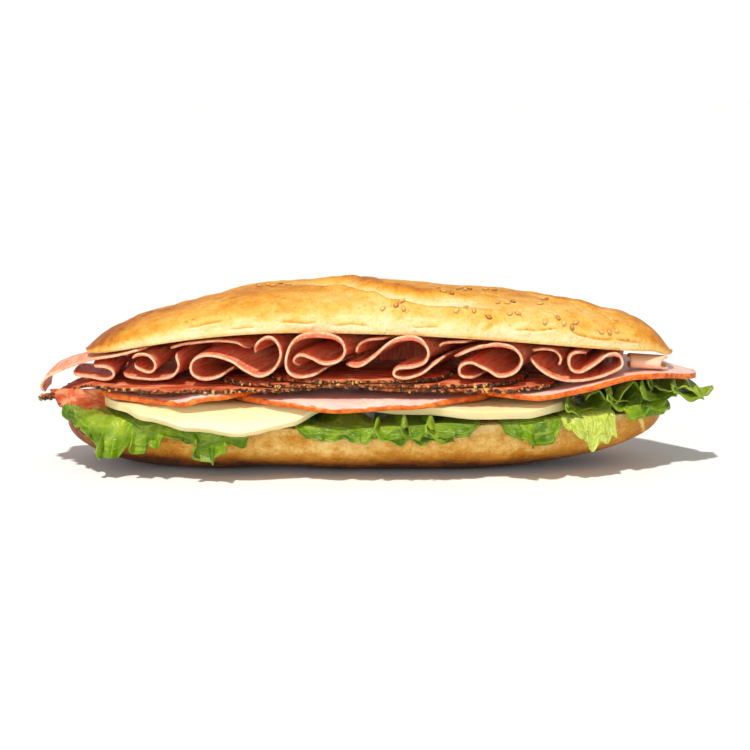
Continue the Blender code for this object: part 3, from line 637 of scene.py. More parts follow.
layers = {
    "gap": 0.0004, "cheeseLevel": 0.0276, "hamLevel": 0.0317, "pastramiLevel": 0.0371,
    "cheese": 0.0034, "ham": 0.0023, "pastrami": 0.0013, "ruffle": 0.0010, "leaf": 0.0008, "leafLift": 0.0013,
}


# kinds of slice: the attribute that its finish reads, its thickness, its offset from the grid, its slot
sheetKinds = {
    "cheese": ("rim", layers["cheese"], 1.0, "cheese"),
    "smokedHam": ("rim", layers["ham"], 1.0, "smoked_ham"),
    "pastrami": ("rim", layers["pastrami"], 1.0, "pastrami"),
    "curedHam": ("rim", layers["ruffle"], 0.0, "cured_ham"),
    "curedFlap": ("rim", layers["ruffle"], 0.0, "cured_ham"),
    "curedPaintedLight": ("rim", layers["ruffle"], 0.0, "cured_ham"),
    "lettuce": ("pale", layers["leaf"], 0.0, "lettuce"),
}


def evenly(value):
    return lambda s, t: value


def pathLength(points):
    return sum((after - before).length for before, after in zip(points, points[1:]))


# place gives a point for each share s along and t across, values gives the finish's attribute there
def buildSheet(name, node, kind, columns, rows, place, values, offset=None):
    layerName, thickness, usualOffset, slot = sheetKinds[kind]
    shape = bmesh.new()
    bmesh.ops.create_grid(shape, x_segments=columns, y_segments=rows, size=0.5)
    layer = shape.verts.layers.float.new(layerName)
    shares = {}
    for vert in shape.verts:
        s, t = vert.co.x + 0.5, vert.co.y + 0.5
        shares[vert] = (s, t)
        vert.co = place(s, t)
        vert[layer] = values(s, t)
    uvLayer = shape.loops.layers.uv.new("slice")  # in millimetres over the slice
    spanU = pathLength([place(k / 20, 0.5) for k in range(21)]) / mm
    spanV = pathLength([place(0.5, k / 20) for k in range(21)]) / mm
    for face in shape.faces:
        for loop in face.loops:
            s, t = shares[loop.vert]
            loop[uvLayer].uv = (s * spanU, t * spanV)
    piece = addPiece(name, shape, [finishes[kind]], node)
    wall = piece.modifiers.new("Thickness", "SOLIDIFY")
    wall.thickness = thickness
    wall.offset = usualOffset if offset is None else offset
    if kind == "cheese":  # a cut edge, only just rounded
        edge = piece.modifiers.new("Cut edge", "BEVEL")
        edge.width = 0.0005
        edge.segments = 3
        edge.limit_method = "ANGLE"
        edge.angle_limit = math.radians(50.0)
    else:
        soft = piece.modifiers.new("Soft edge", "SUBSURF")
        soft.levels = 1
        soft.render_levels = 1


def drape(x, y, amount, start, recede):
    rim = start - recede * abs(x / 0.130) ** 4
    return amount * (max(0.0, abs(y) - rim) / 0.007) ** 1.5


def layerPlace(layer):
    middle, half = (layer["left"] + layer["right"]) / 2.0, (layer["right"] - layer["left"]) / 2.0

    def place(s, t):
        u = -0.985 * math.cos(math.pi * s)
        x = middle + half * u
        roundEnd = (1.0 - abs(u) ** layer["bluntness"]) ** 0.5
        ragged = layer.get("ragged", 0.0003)
        wobble = ragged * (grainAt(x, 0.0, 0.0, 0.012, layer["left"] * 90.0)
                           + 0.5 * grainAt(x, 0.0, 0.0, 0.004, 5.0))
        front = -layer["front"](x) * roundEnd + wobble
        back = layer["back"](x) * roundEnd - wobble
        across = 0.5 - 0.5 * math.cos(math.pi * t)
        y = front + (back - front) * (0.35 * t + 0.65 * across)
        wave = layer.get("wave", 0.0) * grainAt(x, y, 0.0, 0.020, 9.0) * ease(0.030, 0.044, abs(y))
        hang = drape(x, y, layer["droop"], layer.get("start", 0.0420), layer.get("recede", 0.0120))
        return Vector((x, y, layer["level"](x) - hang + wave))

    return place


def layerRim(layer):  # how far a point is from the slice's edge, 1 is 3 mm or more
    length, width = layer["right"] - layer["left"], 0.088

    def rim(s, t):
        alongEdge = min(s, 1.0 - s)
        toEnd = alongEdge * alongEdge * 4.0 * length
        toSide = min(t, 1.0 - t) * 0.35 * width * 1.6
        return min(1.0, min(toEnd, toSide) / 0.003)

    return rim


def curve(*points):
    return lambda x: through(points, x)


def overLeft(x):
    return layers["hamLevel"] + (layers["ham"] + layers["gap"]) * ease(-0.082, -0.066, x)


def overRight(x):
    over = layers["hamLevel"] + layers["ham"] + layers["gap"] - 0.0006 * ease(0.056, 0.066, x)
    return over + 0.0056 * ease(0.064, 0.108, x) - 0.0030 * ease(0.114, 0.134, x)


def level(name, extra=0.0):
    return lambda x: layers[name] + extra


# each slice: its ends, how square they are, how far its edge droops and from where, its front and back edges
rightFront = curve((0.030, 0.041), (0.060, 0.0455), (0.085, 0.0420), (0.110, 0.0290), (0.134, 0.0150))
cheeses = {
    "cheese_left": {"left": -0.1135, "right": -0.012, "bluntness": 8, "droop": 0.0057, "start": 0.0390,
                    "recede": 0.0040, "level": level("cheeseLevel"), "back": lambda x: 0.0445,
                    "front": curve((-0.114, 0.033), (-0.092, 0.0428), (-0.073, 0.0460), (-0.054, 0.0480),
                                   (-0.034, 0.0455), (-0.018, 0.0415))},
    "cheese_right": {"left": -0.008, "right": 0.084, "bluntness": 8, "droop": 0.0020, "start": 0.0390,
                     "recede": 0.0040, "level": level("cheeseLevel"), "back": lambda x: 0.0440,
                     "front": curve((0.020, 0.0415), (0.040, 0.0452), (0.060, 0.0446), (0.082, 0.0370))},
}
hams = {
    "smoked_ham_left": {"left": -0.1170, "right": -0.042, "bluntness": 5, "droop": 0.0030, "wave": 0.0002,
                        "level": overLeft, "back": lambda x: 0.0440,
                        "front": curve((-0.120, 0.020), (-0.105, 0.0350), (-0.089, 0.0415), (-0.074, 0.0458),
                                       (-0.060, 0.0455), (-0.040, 0.041))},
    "smoked_ham_middle": {"left": -0.064, "right": 0.053, "bluntness": 6, "droop": 0.0036, "wave": 0.0002,
                          "level": level("hamLevel"), "back": lambda x: 0.0450,
                          "front": curve((-0.066, 0.040), (-0.040, 0.0455), (-0.015, 0.0485),
                                         (0.010, 0.0470), (0.055, 0.040))},
    "smoked_ham_right": {"left": 0.032, "right": 0.135, "bluntness": 5, "droop": 0.0018, "wave": 0.0002,
                         "level": overRight, "back": lambda x: rightFront(x) - 0.001, "front": rightFront},
}

pastramiStep = layers["pastrami"] + layers["gap"]
leftReach = curve((-0.141, 0.006), (-0.125, 0.017), (-0.105, 0.0360), (-0.085, 0.0450), (-0.015, 0.0450))


def pastramiLeftLevel(x):
    return (layers["pastramiLevel"] - 0.0092 * (1.0 - ease(-0.141, -0.113, x))
            - 0.0012 * (1.0 - ease(-0.104, -0.080, x)))


pastramis = {
    "pastrami_left": {"left": -0.1412, "right": -0.018, "bluntness": 10, "droop": 0.0016, "ragged": 0.0010,
                      "front": leftReach, "back": lambda x: leftReach(x) - 0.001, "level": pastramiLeftLevel},
    "pastrami_right": {"left": -0.012, "right": 0.078, "bluntness": 6, "droop": 0.0016, "ragged": 0.0010,
                       "front": lambda x: 0.0450, "back": lambda x: 0.0440,
                       "level": lambda x: layers["pastramiLevel"] + 0.0007 * ease(0.05, 0.075, x)},
    "pastrami_middle": {"left": -0.066, "right": 0.064, "bluntness": 7, "droop": 0.0014, "ragged": 0.0010,
                        "front": lambda x: 0.0446, "back": lambda x: 0.0440,
                        "level": level("pastramiLevel", pastramiStep)},
    "pastrami_top": {"left": -0.046, "right": 0.033, "bluntness": 6, "droop": 0.0012, "ragged": 0.0010,
                     "front": lambda x: 0.0442, "back": lambda x: 0.0436,
                     "level": level("pastramiLevel", 2.0 * pastramiStep)},
}

for node, layer in cheeses.items():
    buildSheet(node + "_slice", node, "cheese", 60, 48, layerPlace(layer), evenly(1.0))
for node, layer in hams.items():
    buildSheet(node + "_slice", node, "smokedHam", 70, 36, layerPlace(layer), layerRim(layer))
for node, layer in pastramis.items():
    buildSheet(node + "_slice", node, "pastrami", 92, 30, layerPlace(layer), layerRim(layer))
print("flat slices made")


# cracked pepper and spice grains on the pastrami's edges

grains = {"pepper": 1150, "spice": 480, "size": (0.00040, 0.00110)}


def buildGrains(name, count, finish, seed):
    draw = random.Random(seed)
    shape = bmesh.new()
    toneLayer = shape.verts.layers.float.new("tone")
    places = [(layer, layerPlace(layer)) for layer in pastramis.values()]
    spans = [layer["right"] - layer["left"] for layer, place in places]

    def grainShape(target):
        made = bmesh.ops.create_icosphere(target, subdivisions=1, radius=1.0)["verts"]
        for vert in made:
            vert.co *= 1.0 + 0.35 * (draw.random() - 0.5)
        return made

    for grain in range(count):
        layer, place = draw.choices(places, spans)[0]
        s, edge = draw.random(), 0.0 if draw.random() < 0.55 else 1.0
        t = edge + (0.012 + 0.020 * draw.random()) * (1.0 if edge == 0.0 else -1.0)
        if draw.random() < 0.62:
            t = edge
        patch = noise.noise(Vector((s * 14.0, edge * 5.0, layer["level"](0.0) * 900.0)))
        size = draw.uniform(*grains["size"]) * (1.0 + 0.35 * patch)
        if patch < -0.22:
            continue
        proud = -0.0002 if edge == 0.0 else 0.0002
        point = place(s, t) + Vector((0.0, proud, layers["pastrami"] * draw.uniform(0.1, 1.0)))
        stretch = Matrix.Diagonal((size * draw.uniform(0.7, 1.2), size * 0.7,
                                   size * draw.uniform(0.5, 0.8), 1.0))
        turn = Matrix.Rotation(draw.uniform(0.0, 6.28), 4,
                               Vector((draw.random(), draw.random(), draw.random() + 0.1)))
        joinShapes(shape, toneLayer, draw.random(), grainShape, Matrix.Translation(point) @ turn @ stretch)
    addPiece(name, shape, [finish], "pastrami_left", smooth=False)


buildGrains("pepper_grains", grains["pepper"], finishes["pepper"], 3)
buildGrains("spice_grains", grains["spice"], finishes["spice"], 5)
print("spice grains made")


# ruffled slices of cured ham: each path is the slice as seen from the front, x and z in millimetres,
# then how far it comes past the front rim and the back rim

ruffles = {
    "cured_ham_flap": ([(-93.0, 52.1), (-97.4, 51.3), (-102, 49.8), (-107, 48.4), (-112, 47.1),
                        (-118, 45.3), (-124, 43.7), (-130, 41.9), (-135.4, 39.3), (-138.0, 35.6),
                        (-137.4, 31.6)], 0.001, 0.001),
    "cured_ham_1": ([(-125.4, 39.7), (-121.5, 39.1), (-116, 38.6), (-110, 38.6), (-106.6, 40.2),
                     (-106.4, 42.4), (-109, 43.8), (-113.4, 43.6), (-117, 42.4)], 0.003, 0.001),
    "cured_ham_2": ([(-99.2, 47.9), (-96.2, 49.6), (-92.4, 50.1), (-89.2, 48.6), (-88.3, 45.6), (-90.6, 43.2),
                     (-94.2, 44.0), (-98.4, 45.8)], 0.003, 0.002),
    "cured_ham_3": ([(-103.5, 41.0), (-96, 40.4), (-88, 40.5), (-81.5, 42.0), (-78.8, 46.5), (-80.6, 51.0)],
                    0.0015, 0.001),
    "cured_ham_4": ([(-57.4, 45.4), (-63, 42.4), (-69, 41.4), (-73.2, 43.6), (-73.4, 48.0), (-69.4, 50.9),
                     (-63.2, 50.8), (-57, 48.9), (-51.8, 45.3), (-46.4, 43.0), (-41.4, 44.9), (-38.2, 49.2),
                     (-37.6, 53.6), (-40.0, 57.4), (-43.6, 58.2), (-47.4, 55.6), (-48.6, 51.4)],
                    0.003, 0.002),
    "cured_ham_5": ([(-19.8, 45.6), (-25, 43.7), (-30.6, 43.0), (-34.6, 45.2), (-35.4, 50.4), (-33.2, 55.6),
                     (-28.4, 58.4), (-20.6, 58.9), (-14.2, 57.2), (-11.9, 53.2), (-14.6, 49.5), (-20.2, 48.3),
                     (-25.2, 50.6), (-30.0, 52.0), (-32.6, 49.2), (-30.6, 46.4)], 0.0042, 0.003),
    "cured_ham_6": ([(-12.2, 47.2), (-6, 47.5), (-0.6, 51.0), (4.8, 55.4), (11, 57.7), (17.4, 57.2),
                     (21.2, 53.4), (19.9, 49.0), (14.4, 46.9), (8.8, 46.4), (7.4, 43.7), (12.4, 42.7),
                     (18.6, 44.4), (23.4, 48.0), (28.0, 50.6)], 0.0036, 0.002),
    "cured_ham_7": ([(31.2, 50.1), (36, 52.8), (42.4, 54.6), (49.4, 55.2), (55.6, 53.6), (58.6, 49.6),
                     (56.2, 44.8), (50, 43.0), (44.8, 45.6), (38.6, 48.6), (34.0, 47.2), (34.0, 43.6),
                     (38.4, 42.6), (42.6, 43.0)], 0.0030, 0.003),
    "cured_ham_8": ([(62.0, 49.4), (66.4, 45.4), (71.6, 42.2), (78, 40.7), (86, 40.9), (94, 42.7),
                     (99.8, 45.6), (98.6, 49.4), (93.2, 49.8), (88.2, 46.8), (82.6, 43.9), (78.4, 45.6),
                     (77.8, 50.0), (81.2, 51.8), (85.4, 50.6)], 0.003, 0.002),
    "cured_ham_9": ([(-84.6, 52.2), (-77.6, 54.5), (-70, 55.7), (-62, 56.4), (-54.8, 55.4), (-52.6, 52.2)],
                    -0.003, -0.003),
    "cured_ham_10": ([(-8.0, 50.8), (-6.8, 55.0), (-3.0, 57.2), (1.6, 57.6), (5.2, 58.0)], -0.003, -0.003),
    "cured_ham_11": ([(24.6, 53.6), (27.0, 55.8), (32.0, 56.2), (38.0, 56.4)], -0.003, -0.003),
    "cured_ham_12": ([(62.0, 52.4), (67.2, 53.2), (72.4, 52.2), (74.8, 48.6), (73.0, 45.4)], -0.002, -0.002),
}
ruffle = {"floor": 0.0426, "leftSink": 0.0030, "rows": 30, "stride": 1.3, "rim": 0.006}


def smoothPath(points, steps):  # evenly spaced points on the smooth curve through a few points
    points = [np.array(point, dtype=float) for point in points]
    ends = [2.0 * points[0] - points[1]] + points + [2.0 * points[-1] - points[-2]]
    fine = []
    for before, start, end, after in zip(ends, ends[1:], ends[2:], ends[3:]):
        for k in range(24):
            t = k / 24.0
            fine.append(0.5 * (2.0 * start + (end - before) * t
                               + (2.0 * before - 5.0 * start + 4.0 * end - after) * t * t
                               + (3.0 * start - before - 3.0 * end + after) * t ** 3))
    fine.append(points[-1])
    fine = np.array(fine)
    run = np.concatenate([[0.0], np.cumsum(np.linalg.norm(np.diff(fine, axis=0), axis=1))])
    marks = np.linspace(0.0, run[-1], steps + 1)
    return np.stack([np.interp(marks, run, fine[:, axis]) for axis in range(2)], axis=1), run[-1]


def ruffleFloor(x):
    return ruffle["floor"] - ruffle["leftSink"] * (1.0 - ease(-0.100, -0.085, x))


def press(x, y, z):  # the squeeze that all ruffles share inside the roll
    half = max(0.014, topHalfWidth(x))
    depth = max(-1.0, min(1.0, y / half))
    floor = ruffleFloor(x)
    room = topCut(x) - floor
    share = max(0.0, min(1.0, (z - floor) / room))
    lift = 0.0022 * ease(0.0010, 0.0040, abs(y) - half) * ease(0.5, 1.0, share)
    turn = depth * math.pi / 2.0
    skew = 0.0038 * (1.0 + math.sin(turn)) + 0.0140 * math.cos(turn) ** 2
    skew *= max(0.0, 1.0 - (x / 0.112) ** 2)
    lost = room - (topCut(x + skew) - cutSag(x + skew, depth) - floor)
    climb = (overRight(x + skew) - overRight(x)) * (1.0 - share)
    fullness = room * (share ** (1.0 - 0.50 * math.cos(turn) ** 2) - share)
    return Vector((x + skew, y, z - lost * share + lift + climb + fullness))


def buildRuffle(name, fold, seed):
    points, front, back = fold
    steps = max(16, int(smoothPath(points, 10)[1] / ruffle["stride"]))
    path, length = smoothPath(points, steps)
    path = path * mm

    def depthAt(s, t):
        x = path[round(s * steps)][0]
        half = max(0.014, topHalfWidth(x))
        corner = 0.5 * (2.0 * s - 1.0) ** 8
        uneven = 0.0008 * noise.noise(Vector((s * 6.0, seed, 0.0)))
        uneven += 0.0005 * noise.noise(Vector((s * 23.0, seed, 4.0)))
        rounded = 0.0065 * ease(0.84, 1.0, abs(2.0 * s - 1.0)) ** 2
        yFront = -(half + front - corner * abs(front)) + uneven + rounded
        yBack = half + back - corner * abs(back) - uneven - rounded
        return yFront + (yBack - yFront) * (t - 0.135 * math.sin(2.0 * math.pi * t))

    def place(s, t):
        x, z = path[round(s * steps)]
        point = press(x, depthAt(s, t), z)
        if name == "cured_ham_flap":  # its near corner hangs
            point.z -= 0.0010 * ease(-0.118, -0.133, x) * ease(0.0, 0.014, -point.y)
        ripple = 0.00016 * noise.noise(Vector((s * length / 5.0, t * 9.0, seed)))
        return point + Vector((ripple, 0.0, ripple))

    def rim(s, t):
        y = depthAt(s, t)
        toSide = min(y - depthAt(s, 0.0), depthAt(s, 1.0) - y)
        toEnd = 0.0008 + min(s, 1.0 - s) * length * mm
        return min(1.0, min(toSide, toEnd) / ruffle["rim"])

    kind = "curedFlap" if name == "cured_ham_flap" else "curedHam"
    buildSheet(name + "_slice", name, kind, steps, ruffle["rows"], place, rim)


for seed, (name, fold) in enumerate(ruffles.items()):
    buildRuffle(name, fold, float(seed))


endRoll = {"start": 0.1045, "length": 0.0165, "y": -0.0150, "z": 0.0452, "halfY": 0.0066, "halfZ": 0.0026}


def endRollPlace(s, t):
    angle = math.radians(120.0 + 310.0 * s)
    taper = 1.0 - 0.10 * t
    ripple = 1.0 + 0.04 * math.sin(9.0 * s + 4.0 * t)
    slanted = 1.0 - 0.24 * max(0.0, -math.sin(angle))  # its open end is cut shorter at the front
    return Vector((endRoll["start"] + endRoll["length"] * t * slanted,
                   endRoll["y"] + endRoll["halfY"] * taper * ripple * math.sin(angle),
                   endRoll["z"] - 0.0008 * t + endRoll["halfZ"] * taper * math.cos(angle)))


def endRollRim(s, t):
    toSide = min(1.0 - t, t) * endRoll["length"]
    return min(1.0, min(toSide, min(s, 1.0 - s) * 0.028) / ruffle["rim"])


# the end roll takes a paler, fattier copy of the cured ham: painted light, as it sits in the upper roll's
# shade
buildSheet("cured_ham_roll_slice", "cured_ham_roll", "curedPaintedLight", 44, 20, endRollPlace, endRollRim)


# the red flesh that closes the gaps between the folds, a slice ruffled along the middle of the roll
backing = {"left": -0.1040, "right": 0.0960, "y": 0.0030, "sway": 0.0030, "waves": 9.0}


def backingPlace(s, t):
    x = backing["left"] + (backing["right"] - backing["left"]) * s
    y = backing["y"] + backing["sway"] * math.sin(2.0 * math.pi * backing["waves"] * s) * (0.5 + t)
    low = max(ruffleFloor(x), overRight(x) + 0.0030)
    top = topCut(x) - cutSag(x, y / topHalfWidth(x)) - 0.0006
    return Vector((x, y, low + max(0.001, top - low) * t))


buildSheet("cured_ham_backing", "cured_ham_9", "curedHam", 130, 10, backingPlace, evenly(1.0))
print("ruffled slices made")


# lettuce: leaves run from the middle of the cut face, over the rim, and hang in frills

# each leaf: its ends along the rim, its frills, and its lower edge as (share along, height in millimetres)
leaves = {
    "lettuce_left": {"left": -0.1262, "right": -0.047, "frill": 0.0021, "waves": 7.2, "phase": 0.4,
                     "edge": [(0.0, 22), (0.14, 20), (0.20, 17), (0.28, 8.6), (0.37, 8.6), (0.42, 16.5),
                              (0.47, 11), (0.52, 11.5), (0.57, 18), (0.70, 16.5), (0.76, 9), (0.82, 8.8),
                              (0.88, 15.5), (0.95, 15), (1.0, 18.5)], "rise": 0.0040},
    "lettuce_middle": {"left": -0.032, "right": 0.042, "frill": 0.0023, "waves": 6.0, "phase": 1.0,
                       "edge": [(0.0, 22), (0.10, 19.5), (0.18, 16.5), (0.25, 18.5), (0.32, 17.6),
                                (0.385, 16.8), (0.42, 21), (0.54, 21), (0.60, 17.8), (0.68, 18.6),
                                (0.73, 22), (0.85, 22), (0.93, 20.4), (1.0, 22)]},
    "lettuce_right": {"left": 0.050, "right": 0.0745, "frill": 0.0020, "waves": 2.2, "phase": 2.0,
                      "edge": [(0.0, 21.5), (0.3, 18), (0.6, 14.5), (0.85, 17), (1.0, 22)]},
    "lettuce_shred": {"left": 0.0740, "right": 0.0960, "frill": 0.0015, "waves": 1.1, "phase": 0.3,
                      "edge": [(0.0, 24), (0.15, 21.5), (0.30, 16.5), (0.40, 14.6), (0.47, 15.8),
                               (0.60, 11.2), (0.68, 14.6), (0.74, 13.4), (0.84, 18), (0.92, 17.2),
                               (1.0, 22)]},
    "lettuce_end": {"left": 0.1000, "right": 0.1185, "frill": 0.0016, "waves": 1.6, "phase": 0.8,
                    "edge": [(0.0, 27), (0.4, 25.0), (0.7, 26), (1.0, 26)]},
    "lettuce_back_left": {"left": -0.110, "right": -0.015, "frill": 0.0019, "waves": 6.6, "phase": 0.2,
                          "edge": [(0.0, 19), (0.12, 12), (0.25, 16), (0.4, 9), (0.55, 15), (0.7, 11),
                                   (0.85, 16), (1.0, 19)], "side": 1},
    "lettuce_back_right": {"left": 0.004, "right": 0.096, "frill": 0.0018, "waves": 6.0, "phase": 1.5,
                           "edge": [(0.0, 20), (0.2, 14), (0.45, 18), (0.7, 12), (0.85, 17),
                                    (1.0, 21)], "side": 1},
}
leafBend = 0.0038


def rimTable():  # the lower rim as arc length, x, y and outward direction, round the front from the left end
    turn = np.linspace(0.0, math.pi, 400)
    middle = (roll["bottomLeft"] + roll["bottomRight"]) / 2.0
    half = (roll["bottomRight"] - roll["bottomLeft"]) / 2.0
    x = middle - half * np.cos(turn)
    y = np.array([-bottomHalfWidth(value) for value in x])
    run = np.concatenate([[0.0], np.cumsum(np.hypot(np.diff(x), np.diff(y)))])
    alongX, alongY = np.gradient(x, run), np.gradient(y, run)
    size = np.hypot(alongX, alongY)
    return run, x, y, alongY / size, -alongX / size


rimLine = rimTable()


def leafPlace(leaf, seed):
    outward = -leaf.get("side", -1)  # leaves hang at the front unless their side is 1
    start = float(np.interp(leaf["left"], rimLine[1], rimLine[0]))
    end = float(np.interp(leaf["right"], rimLine[1], rimLine[0]))
    bend = leafBend * math.pi / 2.0

    def wander(s, speed, shift):
        return noise.noise(Vector((s * leaf["waves"] * speed, seed * 3.7 + shift, 0.0)))

    def place(s, t):
        run = start + (end - start) * s
        wave = 2.0 * math.pi * leaf["waves"] * s + leaf["phase"] + 1.2 * wander(s, 0.9, 0.0)
        x, y, nx, ny = [float(np.interp(run, rimLine[0], column)) for column in rimLine[1:]]
        rim = bottomRim(x) + leaf.get("rise", 0.0) * (1.0 - ease(0.02, 0.14, s))
        ragged = 0.0012 * wander(s, 2.6, 5.0) + 0.0004 * wander(s, 9.0, 9.0)
        kept = ease(-0.015, 0.075, s) * ease(1.015, 0.925, s)  # the leaf's two ends taper back onto the roll
        edge = mm * through(leaf["edge"], s) + ragged
        hang = max(0.001, rim + layers["leafLift"] - leafBend - edge)
        room = max(0.0, layers["cheeseLevel"] - rim - layers["leafLift"] - layers["leaf"] - layers["gap"])
        inside = 0.22
        if t < inside:
            inward = 0.94 * (1.0 - t / inside)
            swell = 0.5 * room * (1.0 + math.sin(wave * 0.5 + 1.0 + 2.5 * inward)) * ease(0.0, 0.4, inward)
            return Vector((x, outward * y * (1.0 - inward), rim + layers["leafLift"] + swell))
        out = (bend + hang) * (t - inside) / (1.0 - inside) * kept ** 0.7
        if out < bend:
            reach = leafBend * math.sin(out / leafBend)
            z = rim + layers["leafLift"] - leafBend * (1.0 - math.cos(out / leafBend))
            drop = 0.0
        else:
            reach, z = leafBend, rim + layers["leafLift"] - leafBend
            drop = (out - bend) / hang
            steps = 6
            for k in range(steps):  # the blade flares outwards towards its edge, more in some places
                share = drop * (k + 0.5) / steps
                flare = 6.0 + 16.0 * math.sin(wave) * ease(0.0, 0.6, share)
                flare += (26.0 + 60.0 * wander(s, 1.7, 2.0)) * ease(0.35, 1.0, share)
                stride = hang * drop / steps
                reach += stride * math.sin(math.radians(flare))
                z -= stride * math.cos(math.radians(flare))
        loose = leaf["frill"] * ease(0.4 * bend, bend + 0.008, out)
        fringe = loose * ease(0.35, 1.0, t)
        reach += 0.0006 * ease(0.0, bend, out) + 0.6 * loose * (1.0 + math.sin(wave))
        reach += 0.95 * fringe * math.sin(1.9 * wave + 2.0 * t + seed)
        reach += 0.20 * fringe * math.sin(4.7 * wave + seed)
        z += 0.45 * loose * math.cos(wave * 1.3 + leaf["phase"]) + 0.35 * fringe * math.cos(2.3 * wave)
        slide = 0.55 * loose * math.cos(wave) + 0.80 * fringe * math.cos(1.9 * wave + 1.0)
        reach += 0.0008 * wander(s, 2.2, t * 5.0) * ease(0.3, 0.6, t)
        x += nx * reach - ny * slide
        y += ny * reach + nx * slide
        return Vector((x, outward * y, z))

    return place


def leafPale(s, t):
    return max(0.0, 0.18 * ease(0.70, 0.25, t) + 0.22 * noise.noise(Vector((s * 14.0, t * 3.0, 1.0))))


for seed, (name, leaf) in enumerate(leaves.items()):
    columns = int(40 + 32 * leaf["waves"])
    pale = evenly(0.75) if name == "lettuce_shred" else leafPale
    buildSheet(name + "_leaf", name, "lettuce", columns, 34, leafPlace(leaf, float(seed)), pale)


def foldedPlace(s, t):
    x = 0.0850 + 0.0260 * s
    half = bottomHalfWidth(x) + 0.0015
    y = -half + (2.0 * half - 0.002) * t
    low, high = bottomRim(x) + 0.0027, overRight(x) - layers["gap"] - layers["leaf"] / 2.0
    wave = math.sin(2.0 * math.pi * (1.6 * s + 0.8 * t))
    wave += 0.14 * math.sin(2.0 * math.pi * (5.3 * s + 1.7 * t))
    return Vector((x, y, (low + high) / 2.0 + 0.38 * (high - low) * wave))


def tipPlace(s, t):
    x = 0.1150 + 0.0262 * s
    half = 0.0125 * (1.0 - 0.55 * s * s)
    y = -0.002 + half * (2.0 * t - 1.0)
    wave = 0.0016 * math.sin(2.0 * math.pi * (1.7 * s + 0.35))
    wave += 0.0012 * math.sin(2.0 * math.pi * (t + s))
    return Vector((x, y, 0.0328 - 0.0012 * s * s + wave + 0.0003 * math.sin(40.0 * s + 9.0 * t)))


buildSheet("lettuce_folded_leaf", "lettuce_folded", "lettuce", 50, 60, foldedPlace, evenly(0.15))
buildSheet("lettuce_tip_leaf", "lettuce_tip", "lettuce", 50, 36, tipPlace, evenly(0.25))


# folded strips of leaf: three between the smoked ham and the roll's right end, one before the middle leaf
tangles = {
    "near": {"left": 0.0770, "right": 0.1190, "waves": 2.6, "phase": 0.6, "depth": 0.026, "over": 0.0040,
             "hang": 0.0026, "lean": 0.0042},
    "inner": {"left": 0.0800, "right": 0.1190, "waves": 2.1, "phase": 2.4, "depth": 0.034, "over": 0.0005,
              "hang": 0.0, "lean": 0.0050},
    "end": {"left": 0.1020, "right": 0.1330, "waves": 2.2, "phase": 4.1, "depth": 0.022, "over": 0.0045,
            "hang": 0.0016, "lean": 0.0040},
    "middle": {"left": 0.0020, "right": 0.0290, "waves": 2.6, "phase": 1.2, "depth": 0.014, "over": 0.0062,
               "hang": 0.0030, "lean": 0.0042, "lift": -0.0034, "high": layers["cheeseLevel"] - 0.0002},
}


def tanglePlace(tangle, seed):
    def place(s, t):
        turn = 2.0 * math.pi * tangle["waves"] * s + tangle["phase"]
        turn += 0.8 * noise.noise(Vector((s * 4.0, seed, t)))
        x = tangle["left"] + (tangle["right"] - tangle["left"]) * s
        x += tangle["lean"] * math.cos(turn + 0.6) * (1.0 - t)
        half = bottomHalfWidth(min(x, 0.1175))
        low = bottomRim(min(x, 0.1200)) + tangle.get("lift", 0.0016)
        high = tangle.get("high", overRight(x) - 0.0010)
        frill = 0.0007 * math.sin(4.3 * turn + seed) * (1.0 - ease(0.0, 0.25, t))
        y = -half - tangle["over"] + tangle["depth"] * t + 0.0030 * math.cos(turn + 1.0) * (1.0 - t) + frill
        z = (low + high) / 2.0 + 0.46 * (high - low) * math.sin(turn + 1.6 * t) + frill
        return Vector((x, y, z - tangle["hang"] * (1.0 - ease(0.0, 0.3, t))))

    return place


for seed, (name, tangle) in enumerate(tangles.items()):
    node = "lettuce_middle" if name == "middle" else "lettuce_folded"
    place = tanglePlace(tangle, float(seed))
    buildSheet("lettuce_tangle_" + name, node, "lettuce", 110, 24, place, evenly(0.12))
print("lettuce made")


# a scrap of pastrami that hangs under the left tip
scrap = {"left": -0.1345, "right": -0.1110, "top": 0.0332, "drop": 0.0100, "y": -0.0150}


def scrapPlace(s, t):
    x = scrap["left"] + (scrap["right"] - scrap["left"]) * s + 0.0040 * t
    wave = 0.0010 * math.sin(7.0 * s + 3.0 * t)
    drop = scrap["drop"] * t * (0.75 + 0.35 * s)
    return Vector((x, scrap["y"] - 0.0040 * s + wave, scrap["top"] + 0.0012 * s - drop))


def scrapRim(s, t):  # pepper along its left end and its lower edge
    return min(1.0, 0.10 + 2.2 * min(2.0 * s, 0.5 - 0.5 * t + 0.10 * s))


buildSheet("pastrami_scrap", "pastrami_left", "pastrami", 48, 20, scrapPlace, scrapRim, offset=0.0)
print("scrap made")


# studio: pale floor, bright low horizon, one fairly hard key from above

studio = {"tilt": 9.0, "distance": 0.875, "aimHeight": 0.0368, "lens": 100.0, "keyStrength": 2.9,
          "keyAngle": 3.0, "keyFrom": (-0.16, -0.50, 1.0), "fillFrom": (-0.35, -1.30, 0.50), "fillPower": 4.2,
          "dome": 0.31, "horizon": 1.06, "floorSize": 6.0}

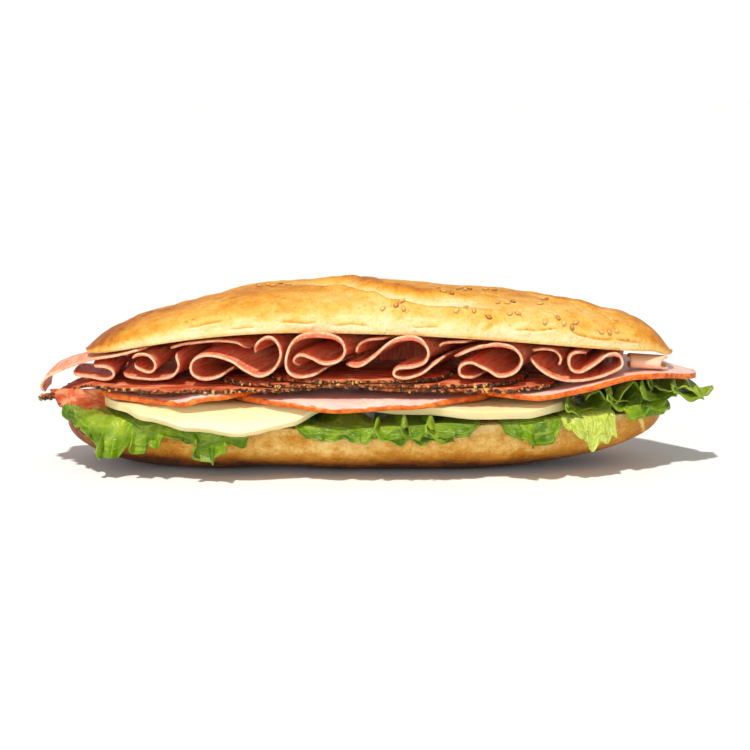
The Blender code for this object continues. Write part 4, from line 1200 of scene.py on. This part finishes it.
floorShape = bmesh.new()
bmesh.ops.create_grid(floorShape, x_segments=1, y_segments=1, size=studio["floorSize"])
floorMesh = bpy.data.meshes.new("floor")
floorShape.to_mesh(floorMesh)
floorShape.free()
floor = bpy.data.objects.new("floor", floorMesh)
scene.collection.objects.link(floor)
floorFinish = Finish("floor", 0.9, 0.1)
floorFinish.shader.inputs["Base Color"].default_value = (0.92, 0.92, 0.92, 1.0)
floorMesh.materials.append(floorFinish.material)

world = bpy.data.worlds.new("studio")
scene.world = world
world.use_nodes = True
sky = world.node_tree
background = sky.nodes["Background"]
direction = sky.nodes.new("ShaderNodeTexCoord")
split = sky.nodes.new("ShaderNodeSeparateXYZ")
fade = sky.nodes.new("ShaderNodeMapRange")
fade.inputs["From Min"].default_value = 0.10
fade.inputs["From Max"].default_value = 0.35
fade.inputs["To Min"].default_value = studio["horizon"]
fade.inputs["To Max"].default_value = studio["dome"]
sky.links.new(direction.outputs["Generated"], split.inputs["Vector"])
sky.links.new(split.outputs["Z"], fade.inputs["Value"])
sky.links.new(fade.outputs["Result"], background.inputs["Strength"])
background.inputs["Color"].default_value = (1.0, 1.0, 1.0, 1.0)

key = bpy.data.objects.new("key", bpy.data.lights.new("key", "SUN"))
key.data.energy = studio["keyStrength"]
key.data.angle = math.radians(studio["keyAngle"])
key.data.color = (1.0, 0.97, 0.92)
key.rotation_euler = Vector(studio["keyFrom"]).to_track_quat("Z", "Y").to_euler()
scene.collection.objects.link(key)

fill = bpy.data.objects.new("fill", bpy.data.lights.new("fill", "AREA"))
fill.data.shape = "RECTANGLE"
fill.data.size = 1.4
fill.data.size_y = 0.6
fill.data.energy = studio["fillPower"]
fill.location = studio["fillFrom"]
fillLine = fill.location - Vector((0.0, 0.0, 0.04))
fill.rotation_euler = fillLine.to_track_quat("Z", "Y").to_euler()
scene.collection.objects.link(fill)

tilt = math.radians(studio["tilt"])
camera = bpy.data.objects.new("camera", bpy.data.cameras.new("camera"))
camera.data.lens = studio["lens"]
camera.location = (0.0, -studio["distance"] * math.cos(tilt),
                   studio["aimHeight"] + studio["distance"] * math.sin(tilt))
camera.rotation_euler = (math.radians(90.0) - tilt, 0.0, 0.0)
scene.collection.objects.link(camera)
scene.camera = camera
scene.view_settings.view_transform = "Standard"
print("studio made")
